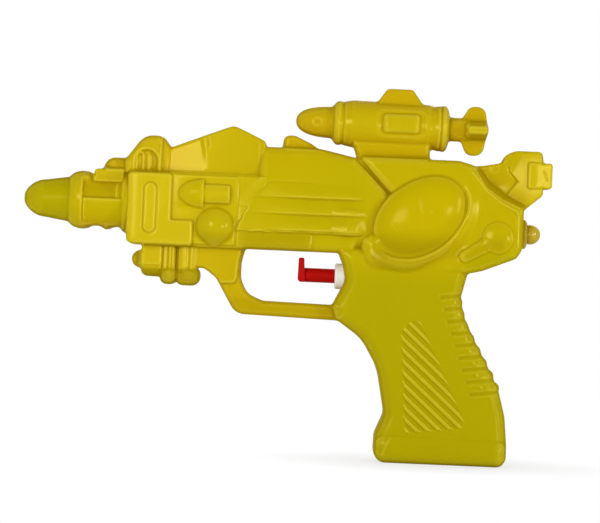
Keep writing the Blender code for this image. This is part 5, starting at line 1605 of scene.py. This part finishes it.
    def halves(self) -> list[bpy.types.Object]:
        """Makes the left and the right half.

        Returns:
            The two pieces.
        """
        points, triangles, crevice, proud = self.build()
        made = []
        for side in Side:
            spots = to_row(points[:, 0], side.value * points[:, 1], points[:, 2])
            faces = triangles if side is Side.LEFT else triangles[:, ::-1]
            name = f"moulded_{side.name.lower()}_half"
            piece = mesh_object(name, spots, faces)
            normals = np.empty(3 * len(points), np.float32)
            piece.data.vertex_normals.foreach_get("vector", normals)
            # Steep drives the finish's painted shade on walls.
            steep = 1.0 - np.abs(normals.reshape(-1, 3)[:, 1])
            for mark, values in self.marks.read(points, crevice, proud, steep).items():
                attribute = piece.data.attributes.new(mark, "FLOAT", "POINT")
                attribute.data.foreach_set("value", values.astype(np.float32))
            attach(piece, "body")
            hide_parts(f"{side.name.lower()}_shell")
            LOG.info("%s: %d triangles", name, len(faces))
            made.append(piece)
        return made


def net(points: Array, round_rows: bool, round_columns: bool) -> tuple[Array, Array]:
    """Triangles over a grid of points, with doubled points welded.

    Args:
        points: Places by row and column.
        round_rows: Whether the last row joins the first.
        round_columns: Whether the last column joins the first.

    Returns:
        The welded places, and triangles that face out of the volume that they enclose.
    """
    rows, columns = points.shape[:2]
    row = np.arange(rows if round_rows else rows - 1)[:, None]
    column = np.arange(columns if round_columns else columns - 1)[None]
    next_row, next_column = (row + 1) % rows, (column + 1) % columns
    a, b = row * columns + column, row * columns + next_column
    c, d = next_row * columns + next_column, next_row * columns + column
    lower, upper = np.stack((a, b, c), -1), np.stack((a, c, d), -1)
    triangles = np.vstack((lower.reshape(-1, 3), upper.reshape(-1, 3)))
    keys = np.rint(points.reshape(-1, 3) * 1e4).astype(np.int64)
    _, first, number = np.unique(keys, axis=0, return_index=True, return_inverse=True)
    places, triangles = points.reshape(-1, 3)[first], number.ravel()[triangles]
    whole = (triangles != np.roll(triangles, 1, 1)).all(1)
    triangles = triangles[whole]
    p, q, r = (places[triangles[:, k]] for k in range(3))
    if (p * np.cross(q, r)).sum() < 0:
        triangles = triangles[:, ::-1]
    return places, triangles


@dataclass(frozen=True)
class Turning:
    """A closed profile (station, radius, corner radius) carried round a level line in so many steps."""

    profile: tuple[Corner, ...]
    level: float
    steps: int = 72

    def net(self) -> tuple[Array, Array]:
        """The surface (s, r cos a, level + r sin a) over the profile and the angle a.

        Returns:
            Places and triangles.
        """
        loop = Outline(self.profile, 15.0).points()
        angle = np.linspace(0.0, 2.0 * math.pi, self.steps, endpoint=False)
        station = np.repeat(loop[:, :1], self.steps, 1)
        radius = np.maximum(loop[:, 1:], 0.0)
        out, level = radius * np.cos(angle), self.level + radius * np.sin(angle)
        return net(np.stack((station, out, level), -1), True, True)


@dataclass(frozen=True)
class Pillow:
    """A side outline carried across the parting plane, with a rounded rim at both ends."""

    corners: tuple[Corner, ...]
    half: float
    rim: float
    rim_steps: int = 7

    def net(self) -> tuple[Array, Array]:
        """The surface: at each place across, the outline drawn in by rim - sqrt(rim² - (rim - d)²).

        Returns:
            Places and triangles.
        """
        loop = Outline(self.corners, 10.0).points()
        centre = 0.5 * (loop.min(0) + loop.max(0))
        spread = 0.5 * (loop.max(0) - loop.min(0))
        turn = np.linspace(0.0, 0.5 * math.pi, self.rim_steps)
        inset = self.rim * (1.0 - np.sin(turn))
        place = self.half - self.rim + self.rim * np.cos(turn)
        across = np.concatenate(((-self.half,), -place, place[::-1], (self.half,)))
        share = np.concatenate(((1.0,), inset / spread.min(), inset[::-1] / spread.min(), (1.0,)))
        drawn = centre + (loop - centre)[None] * (1.0 - share)[:, None, None]
        out = np.repeat(across[:, None], len(loop), 1)
        return net(np.stack((drawn[..., 0], out, drawn[..., 1]), -1), False, True)


@dataclass(frozen=True)
class Sweep:
    """A round section carried along a path (station, out, level), solid or with a bore."""

    path: Array
    radius: float
    bore: float = 0.0
    sides: int = 16

    def net(self) -> tuple[Array, Array]:
        """The surface path + r (cos a side + sin a up), square to the path; a bore comes back inside it.

        Returns:
            Places and triangles.
        """
        way = np.gradient(self.path, axis=0)
        way /= np.linalg.norm(way, axis=1)[:, None]
        side = np.cross(way, np.where(np.abs(way[:, 1:2]) < 0.9, (0.0, 1.0, 0.0), (0.0, 0.0, 1.0)))
        side /= np.linalg.norm(side, axis=1)[:, None]
        angle = np.linspace(0.0, 2.0 * math.pi, self.sides, endpoint=False)[None, :, None]
        round_by = np.cos(angle) * side[:, None] + np.sin(angle) * np.cross(side, way)[:, None]
        outer = self.path[:, None] + self.radius * round_by
        inner = (self.path[:, None] + self.bore * round_by)[::-1]
        if self.bore:
            return net(np.vstack((outer, inner)), True, True)
        return net(np.vstack((inner[-1:], outer, inner[:1])), False, True)


Form = Union[Turning, Pillow, Sweep]
SHARP_DEGREES = 38.0


def fit(name: str, node: str, body: str, slot: str, *parts: Form) -> bpy.types.Object:
    """Makes one piece of fine hardware in place of a plain node.

    Args:
        name: The piece's name.
        node: The node that it replaces.
        body: The body that it rides on.
        slot: The name of a material slot; not used.
        parts: Its shapes, which become one mesh.

    Returns:
        The piece.
    """
    places, triangles, start = [], [], 0
    for part in parts:
        spots, faces = part.net()
        places.append(spots)
        triangles.append(faces + start)
        start += len(spots)
    spots = np.vstack(places)
    piece = mesh_object(name, to_row(*spots.T), np.vstack(triangles))
    piece.data.set_sharp_from_angle(angle=math.radians(SHARP_DEGREES))
    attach(piece, body)
    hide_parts(node)
    LOG.info("%s: %d triangles", name, sum(map(len, triangles)))
    return piece


@dataclass(frozen=True)
class Fittings:
    """The small parts that show or move: jet, trigger, collar, spring, tubes, filler neck and plug."""

    barrel: float = 0.3
    pump: float = -25.9
    filler: float = -5.9
    knob_centre: float = 202.9
    knob_radius: float = 4.0
    wire: float = 0.4
    coil: float = 3.3
    turns: float = 7.5
    spring_ends: tuple[float, float] = (143.5, 162.3)
    tube: float = 2.6
    tube_bore: float = 1.6

    def trigger(self) -> bpy.types.Object:
        """The finger pad, a leaning pillow, on its round stem.

        Returns:
            The piece.
        """
        side = ((110.7, -28.75, 1.5), (113.7, -28.75, 0.4), (113.1, -19.05, 0.7), (110.9, -19.05, 0.7))
        pad = Pillow(side, half=4.8, rim=0.6)
        stem = (
            (111.8, 0, 0), (111.8, 2.85, 0), (137.5, 2.85, 0.2), (137.5, 1.5, 0), (140.5, 1.5, 0),
            (140.8, 1.1, 0), (140.8, 0, 0),
        )
        rod = Turning(stem, self.pump)
        return fit("trigger_pad_and_stem", "trigger", "trigger", "red_plastic", pad, rod)

    def collar(self) -> bpy.types.Object:
        """The white collar that guides the trigger's stem."""
        profile = (
            (125.5, 3.05, 0.2), (125.5, 4.7, 0.2), (126.0, 5.1, 0.4), (132.9, 5.1, 0.2), (132.9, 7.5, 0.2),
            (140.2, 7.5, 0.2), (140.2, 6.5, 0.2), (135.1, 6.5, 0.2), (135.1, 4.35, 0), (133.4, 4.35, 0),
            (133.4, 3.05, 0.2),
        )
        return fit("stem_collar", "pump_gland", "body", "natural_plastic", Turning(profile, self.pump))

    def jet(self) -> bpy.types.Object:
        """The nozzle in the muzzle."""
        profile = (
            (0.3, 1.6, 0.15), (0.7, 1.9, 0.2), (8, 1.9, 0), (8, 4.2, 0.2), (10, 4.2, 0.2), (10, 1.1, 0),
            (14, 1.1, 0), (14, 1.4, 0), (16, 1.0, 0), (16, 0.8, 0), (3.2, 0.8, 0.2), (2.2, 0.5, 0.2),
            (0.3, 0.5, 0),
        )
        return fit("muzzle_jet", "nozzle_jet", "body", "natural_plastic", Turning(profile, self.barrel))

    def neck(self) -> bpy.types.Object:
        """The filler neck: a groove for the wall and a rounded lip behind it."""
        profile = (
            (194.1, 5.9, 0.2), (195.9, 5.9, 0.2), (195.9, 4.7, 0), (199.7, 4.7, 0), (199.7, 5.9, 0.2),
            (200.7, 5.9, 0.4), (201.3, 5.3, 0.4), (201.6, 4.3, 0.3), (200.4, 3.7, 0.2), (194.1, 3.7, 0),
        )
        return fit("filler_collar", "filler_neck", "body", "yellow_plastic", Turning(profile, self.filler))

    def plug(self) -> bpy.types.Object:
        """The push-in plug: a stepped shank and a round knob.

        Returns:
            The piece.
        """
        angle = np.radians(np.linspace(140.0, 0.0, 15))
        station = self.knob_centre + self.knob_radius * np.cos(angle)
        knob = np.column_stack((station, self.knob_radius * np.sin(angle), np.zeros(len(angle)))).tolist()
        shank = ((192.9, 0, 0), (192.9, 2.7, 0.4), (194.3, 3.5, 0.4), (199.9, 3.5, 0.2))
        turning = Turning((*shank, *knob), self.filler)
        return fit("filler_knob", "filler_plug", "filler_plug", "yellow_plastic", turning)

    def spring(self) -> bpy.types.Object:
        """The return spring, a round wire wound into a helix.

        Returns:
            The piece.
        """
        first, last = self.spring_ends
        share = np.linspace(0.0, 1.0, round(self.turns * 40))
        angle = 2.0 * math.pi * self.turns * share
        station = first + self.wire + (last - first - 2.0 * self.wire) * share
        path = np.column_stack((station, self.coil * np.cos(angle), self.pump + self.coil * np.sin(angle)))
        piece = fit("coil_spring", "return_spring", "body", "spring_steel", Sweep(path, self.wire, sides=12))
        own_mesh(piece)
        return piece

    def build(self) -> dict[bpy.types.Object, "Finish"]:
        """Makes every fitting.

        Returns:
            Each piece with its finish.
        """
        made = {self.trigger(): RED, self.collar(): NATURAL, self.jet(): NATURAL, self.spring(): STEEL}
        made.update({self.neck(): PLAIN_YELLOW, self.plug(): PLAIN_YELLOW})
        made.update({tube: CLEAR for tube in self.tubes()})
        return made

    def tubes(self) -> list[bpy.types.Object]:
        """The soft tubes: up from the pump and forward to the jet, and down the grip to the intake.

        Returns:
            The two pieces.
        """
        runs = {
            "outlet_tube": (
                (158.5, -7.95, 0), (158.5, 5.5, 9), (120, 5.5, 40), (70, 0.3, 40), (10.3, 0.3, 0)
            ),
            "intake_tube": (
                (158.5, -44.05, 0), (158.5, -53.05, 16), (167.5, -75.05, 30), (170.5, -94.05, 0)
            ),
        }
        made = []
        for node, run in runs.items():
            line = Outline(run, 5.0).points()
            path = np.column_stack((line[:, 0], np.zeros(len(line)), line[:, 1]))
            hose = Sweep(path, self.tube, self.tube_bore, sides=24)
            made.append(fit(f"soft_{node}", node, "body", "clear_tube", hose))
        return made


Feed = Union[float, tuple[float, ...], bpy.types.NodeSocket]


class Shading:
    """The node tree of a material or a world, while it is put together."""

    def __init__(self, owner: Union[bpy.types.Material, bpy.types.World]) -> None:
        """Opens the owner's own node tree."""
        owner.use_nodes = True
        self.tree = owner.node_tree

    def feed(self, node: bpy.types.Node, feeds: dict[Union[str, int], Feed]) -> None:
        """Sets a node's inputs.

        Args:
            node: The node.
            feeds: For each input the constant that its socket holds, or the output that is joined to it.
        """
        for name, value in feeds.items():
            if isinstance(value, bpy.types.NodeSocket):
                self.tree.links.new(value, node.inputs[name])
            else:
                node.inputs[name].default_value = value

    def add(
        self, kind: str, result: str, feeds: Optional[dict[Union[str, int], Feed]] = None, **options: str
    ) -> bpy.types.NodeSocket:
        """Adds a node.

        Args:
            kind: The node's kind.
            result: The name of the output that is wanted.
            feeds: Its inputs, as in feed.
            options: Its choices, which are made before its inputs are set.

        Returns:
            That output.
        """
        node = self.tree.nodes.new(f"ShaderNode{kind}")
        for option, choice in options.items():
            setattr(node, option, choice)
        self.feed(node, feeds or {})
        return node.outputs[result]

    def spread(self, value: Feed, **ends: float) -> bpy.types.NodeSocket:
        """Carries a value to another range and holds it there; an end that isn't given is 0 or 1."""
        named = {end.replace("_", " ").title(): place for end, place in ends.items()}
        return self.add("MapRange", "Result", {"Value": value} | named)

    def mix(self, share: Feed, first: Feed, second: Feed) -> bpy.types.NodeSocket:
        """The mix of two colours, by the share that the second one has."""
        return self.add("Mix", "Result", {"A": first, "B": second, "Factor": share}, data_type="RGBA")

    def reckon(self, operation: str, first: Feed, second: Feed) -> bpy.types.NodeSocket:
        """The result of a calculation with two values."""
        return self.add("Math", "Value", {0: first, 1: second}, operation=operation)


@dataclass(frozen=True)
class Finish:
    """A surface: its tone and the shade of its broad patches, its gloss, and its grain in millimetres.

    Patches and grains are counted per metre, and gloss_range is how far the roughness varies.
    """

    name: str
    tone: Colour
    shade: Colour
    roughness: float
    grain: float
    metallic: float = 0.0
    ior: float = 1.33
    sheen: Colour = (1.0, 0.92, 0.14)
    coat: float = 0.0
    coat_roughness: float = 0.18
    patches: float = 22.0
    grains: float = 260.0
    gloss_range: tuple[float, float] = (-0.05, 0.07)
    bump: float = 0.25

    def material(self) -> bpy.types.Material:
        """A procedural material: noise varies tone and gloss, and a faint bump breaks the shine.

        Returns:
            The material, which reads Object coordinates.
        """
        made = bpy.data.materials.new(self.name)
        shading = Shading(made)
        surface = made.node_tree.nodes["Principled BSDF"]
        place = shading.add("TexCoord", "Object")
        broad = shading.add("TexNoise", "Fac", {"Vector": place, "Scale": self.patches, "Detail": 3.0})
        fine = shading.add("TexNoise", "Fac", {"Vector": place, "Scale": self.grains, "Detail": 4.0})
        share = shading.spread(broad, from_min=0.35, from_max=0.75)
        smooth, rough = (self.roughness + change for change in self.gloss_range)
        height = {"Height": fine, "Strength": self.bump, "Distance": self.grain * MILLIMETRE}
        feeds = {
            "Metallic": self.metallic, "IOR": self.ior,
            "Specular Tint": (*self.sheen, 1.0),
            "Coat Weight": self.coat,
            "Coat Roughness": self.coat_roughness,
            "Roughness": shading.spread(fine, to_min=smooth, to_max=rough),
            "Normal": shading.add("Bump", "Normal", height),
        }
        shading.feed(surface, feeds)
        self.dress(shading, shading.mix(share, (*self.tone, 1.0), (*self.shade, 1.0)), surface)
        return made

    def dress(self, shading: Shading, tone: bpy.types.NodeSocket, surface: bpy.types.Node) -> None:
        """Carries the varied tone to the surface."""
        shading.feed(surface, {"Base Color": tone})


@dataclass(frozen=True)
class Wash:
    """A colour that is mixed in by a mark on the mesh, from none at start to most at end."""

    mark: str
    start: float
    end: float
    most: float
    colour: Colour


@dataclass(frozen=True)
class MouldedFinish(Finish):
    """The halves' plastic, with light and shade painted into its colour: painted shade in crevices, grooves,
    on walls and under overhangs, painted highlights on raised places and proud edges, a painted warm glow
    where the plastic is thin, and a darker, greener yellow on the nose, feet, grip and lower back, partly
    painted shade.

    Attributes:
        washes: Its colours, in the order in which they are laid.
        matte: The share of the shine that is left on matte places.
    """

    washes: tuple[Wash, ...] = (
        # Darker, greener yellow: painted shade on the grip and the feet, a darker tone of the plastic on the
        # nose.
        Wash("dull", 0.0, 1.0, 0.85, (0.445, 0.378, 0.0015)),
        # Lighter, whiter yellow: a lighter tone at the front and the scope, and a painted sheen on the rear
        # fin's block.
        Wash("pale", 0.0, 1.0, 0.75, (0.66, 0.505, 0.006)),
        # A painted warm orange glow of light through thin plastic.
        Wash("thin", 0.0, 1.0, 0.70, (0.60, 0.385, 0.002)),
        # Painted shade on faces that look down, under overhangs and in recesses.
        Wash("painted_shade", 0.0, 1.0, 0.90, (0.38, 0.28, 0.001)),
        # Painted shade on walls that turn away from the side.
        Wash("steep", 0.25, 0.95, 0.30, (0.46, 0.31, 0.001)),
        # Painted shade in crevices and recesses.
        Wash("crevice", 0.15, 2.4, 0.60, (0.36, 0.25, 0.001)),
        # Painted highlight on places that stand above their wide surroundings.
        Wash("crevice", -0.25, -2.0, 0.35, (0.64, 0.51, 0.012)),
        # Painted shade in narrow grooves.
        Wash("proud", -0.015, -0.14, 0.42, (0.36, 0.25, 0.001)),
        # Painted highlight along proud edges and crests.
        Wash("proud", 0.018, 0.10, 0.45, (0.80, 0.64, 0.035)),
    )
    matte: float = 0.25

    def dress(self, shading: Shading, tone: bpy.types.NodeSocket, surface: bpy.types.Node) -> None:
        """Mixes each wash into the tone by its mark on the mesh, and takes the shine off the matte places.

        Args:
            shading: The material's nodes.
            tone: The varied tone.
            surface: The surface that takes it.
        """
        for wash in self.washes:
            read = shading.add("Attribute", "Fac", attribute_name=wash.mark)
            share = shading.spread(read, from_min=wash.start, from_max=wash.end, to_max=wash.most)
            tone = shading.mix(share, tone, (*wash.colour, 1.0))
        read = shading.add("Attribute", "Fac", attribute_name="matte")
        coat = shading.spread(read, to_min=self.coat, to_max=self.matte * self.coat)
        mirror = shading.spread(read, to_min=self.metallic, to_max=self.matte * self.metallic)
        shading.feed(surface, {"Base Color": tone, "Coat Weight": coat, "Metallic": mirror})


CLEAR_SHEEN = (1.0, 1.0, 1.0)
YELLOW = MouldedFinish(
    "moulded_yellow",
    tone=(0.575, 0.440, 0.0006), shade=(0.520, 0.418, 0.0005), roughness=0.22, grain=0.10, metallic=0.027,
    ior=1.02, coat=0.075,
)
PLAIN_YELLOW = Finish(
    "turned_yellow",
    tone=(0.62, 0.43, 0.003), shade=(0.52, 0.36, 0.002), roughness=0.20, grain=0.08, metallic=0.03,
    ior=1.02, coat=0.8,
)
RED = Finish(
    "trigger_red",
    tone=(0.51, 0.004, 0.003), shade=(0.43, 0.003, 0.002), roughness=0.36, grain=0.08, ior=1.25,
    sheen=(1.0, 0.3, 0.25),
)
NATURAL = Finish(
    "natural_white",
    tone=(0.97, 0.97, 0.96), shade=(0.93, 0.93, 0.91), roughness=0.42, grain=0.10, sheen=CLEAR_SHEEN,
)
CLEAR = Finish(
    "soft_tube",
    tone=(0.70, 0.74, 0.72), shade=(0.62, 0.66, 0.64), roughness=0.25, grain=0.05, sheen=CLEAR_SHEEN,
)
RUBBER = Finish(
    "black_rubber",
    tone=(0.030, 0.030, 0.030), shade=(0.045, 0.045, 0.043), roughness=0.68, grain=0.20, sheen=CLEAR_SHEEN,
)
STEEL = Finish(
    "bright_steel",
    tone=(0.58, 0.59, 0.61), shade=(0.48, 0.49, 0.51), roughness=0.26, grain=0.04, metallic=1.0,
    sheen=CLEAR_SHEEN,
)


@dataclass(frozen=True)
class Lamp:
    """A soft lamp: its place round the object in degrees and metres, its size, its power and its use."""

    name: str
    azimuth: float
    elevation: float
    distance: float
    wide: float
    tall: float
    watts: float
    only_shine: bool = False


@dataclass(frozen=True)
class Studio:
    """Camera, lamps, floor and background, in metres.

    The floor takes a share of white, which grows to the whole from shadow_near to shadow_far round the butt.
    """

    aim: tuple[float, float, float] = (-0.05, 0.0, 0.05)
    ambient: float = 0.40
    mirror_white: float = 0.25
    lamps: tuple[Lamp, ...] = (
        Lamp("key", -20.0, 10.0, 1.0, wide=0.30, tall=0.30, watts=4.2),
        Lamp("window", 60.0, 6.0, 1.1, wide=0.06, tall=0.40, watts=2.8),
        Lamp("gleam", 38.0, -0.5, 1.1, wide=0.14, tall=0.12, watts=2.2, only_shine=True),
        Lamp("fill", 165.0, 30.0, 1.2, wide=0.90, tall=0.90, watts=5.0),
    )
    centre: tuple[float, float] = (111.4, -20.65)
    roll_degrees: float = -2.5
    distance: float = 1.4
    frame_width: float = 0.24
    sensor: float = 36.0
    floor_half: float = 3.0
    floor_white: float = 0.7
    butt_middle: float = 0.0075
    shadow_near: float = 0.024
    shadow_far: float = 0.075

    def camera(self) -> None:
        """A long lens square to the left side, rolled as the photograph is."""
        data = bpy.data.cameras.new("camera")
        data.sensor_width = self.sensor
        data.lens = self.sensor * self.distance / self.frame_width
        camera = bpy.data.objects.new("camera", data)
        place = to_row(np.array([self.centre[0]]), np.array([0.0]), np.array([self.centre[1]]))[0]
        camera.location = (place[0], -self.distance, place[2])
        camera.rotation_euler = (math.pi / 2, math.radians(self.roll_degrees), 0.0)
        bpy.context.scene.collection.objects.link(camera)
        bpy.context.scene.camera = camera

    def lamp(self, lamp: Lamp) -> None:
        """Sets up an area lamp, turned towards the object's middle.

        Args:
            lamp: What it is like.
        """
        data = bpy.data.lights.new(lamp.name, "AREA")
        data.shape = "RECTANGLE"
        data.size, data.size_y = lamp.wide, lamp.tall
        data.energy = lamp.watts
        made = bpy.data.objects.new(lamp.name, data)
        made.visible_diffuse = not lamp.only_shine
        round_by, up_by = math.radians(lamp.azimuth), math.radians(lamp.elevation)
        level = math.cos(up_by)
        way = Vector((math.sin(round_by) * level, -math.cos(round_by) * level, math.sin(up_by)))
        made.location = Vector(self.aim) + way * lamp.distance
        made.rotation_euler = (-way).to_track_quat("-Z", "Y").to_euler()
        bpy.context.scene.collection.objects.link(made)

    def build(self) -> None:
        """Sets up camera, lamps, world and floor."""
        scene = bpy.context.scene
        scene.view_settings.view_transform = "Standard"
        self.camera()
        for lamp in self.lamps:
            self.lamp(lamp)
        scene.world = self.world()
        self.floor()

    def world(self) -> bpy.types.World:
        """The background: white to the camera, a dim light elsewhere, and a little whiter in reflections.

        Returns:
            The world.
        """
        made = bpy.data.worlds.new("studio")
        shading = Shading(made)
        seen = shading.reckon("MAXIMUM", self.ray(shading, "Camera"), self.ray(shading, "Transmission"))
        mirrored = shading.reckon("MULTIPLY", self.ray(shading, "Glossy"), self.mirror_white)
        shown = shading.reckon("MAXIMUM", seen, mirrored)
        strength = shading.spread(shown, to_min=self.ambient, to_max=1.0)
        background = made.node_tree.nodes["Background"]
        shading.feed(background, {"Color": (1.0, 1.0, 1.0, 1.0), "Strength": strength})
        return made

    def ray(self, shading: Shading, kind: str) -> bpy.types.NodeSocket:
        """1 for rays of this kind, 0 for the others."""
        return shading.add("LightPath", f"Is {kind} Ray")

    def floor(self) -> None:
        """A plain pale floor at the level of the butt: it keeps the shadow near it and fades to white."""
        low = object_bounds()[0][2]
        half = self.floor_half
        corners = np.array(((-half, -half, low), (half, -half, low), (half, half, low), (-half, half, low)))
        floor = mesh_object("floor", corners, np.array(((0, 1, 2), (0, 2, 3))))
        made = bpy.data.materials.new("pale_floor")
        shading = Shading(made)
        nodes = made.node_tree.nodes
        pale = {"Base Color": (0.85, 0.85, 0.85, 1.0), "Roughness": 0.9, "Specular IOR Level": 0.1}
        shading.feed(nodes["Principled BSDF"], pale)
        spots = {0: shading.add("TexCoord", "Object"), 1: (self.butt_middle, 0.0, low)}
        away = shading.add("VectorMath", "Value", spots, operation="DISTANCE")
        ends = {"from_min": self.shadow_near, "from_max": self.shadow_far}
        fade = shading.spread(away, **ends, to_min=self.floor_white, to_max=1.0)
        seen = shading.reckon("MULTIPLY", self.ray(shading, "Camera"), fade)
        layers = {1: nodes["Principled BSDF"].outputs["BSDF"], 2: shading.add("Emission", "Emission")}
        blend = shading.add("MixShader", "Shader", {"Fac": seen} | layers)
        shading.feed(nodes["Material Output"], {"Surface": blend})
        floor.data.materials.append(made)
        floor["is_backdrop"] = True


NODE_FINISHES: dict[str, Finish] = {
    "piston": NATURAL, "pump_cylinder": NATURAL, "inlet_fitting": NATURAL, "outlet_fitting": NATURAL,
    "gland_seal": RUBBER, "wall_gasket": RUBBER, "neck_gasket": RUBBER, "jet_seal": RUBBER,
    "piston_ring": RUBBER, "inlet_ball": STEEL, "outlet_ball": STEEL,
}


def main() -> None:
    """Builds every piece in order."""
    logging.basicConfig(level=logging.INFO, format="%(name)s: %(message)s")
    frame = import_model()
    Studio().build()
    pieces: dict[bpy.types.Object, Finish] = {half: YELLOW for half in Moulding().halves()}
    pieces.update(Fittings().build())
    pieces.update({frame["nodes"][node]: finish for node, finish in NODE_FINISHES.items()})
    made: dict[str, bpy.types.Material] = {}
    for piece, finish in pieces.items():
        if finish.name not in made:
            made[finish.name] = finish.material()
        piece.data.materials.clear()
        piece.data.materials.append(made[finish.name])
        LOG.info("%s: %s", piece.name, finish.name)


if __name__ == "__main__":
    main()
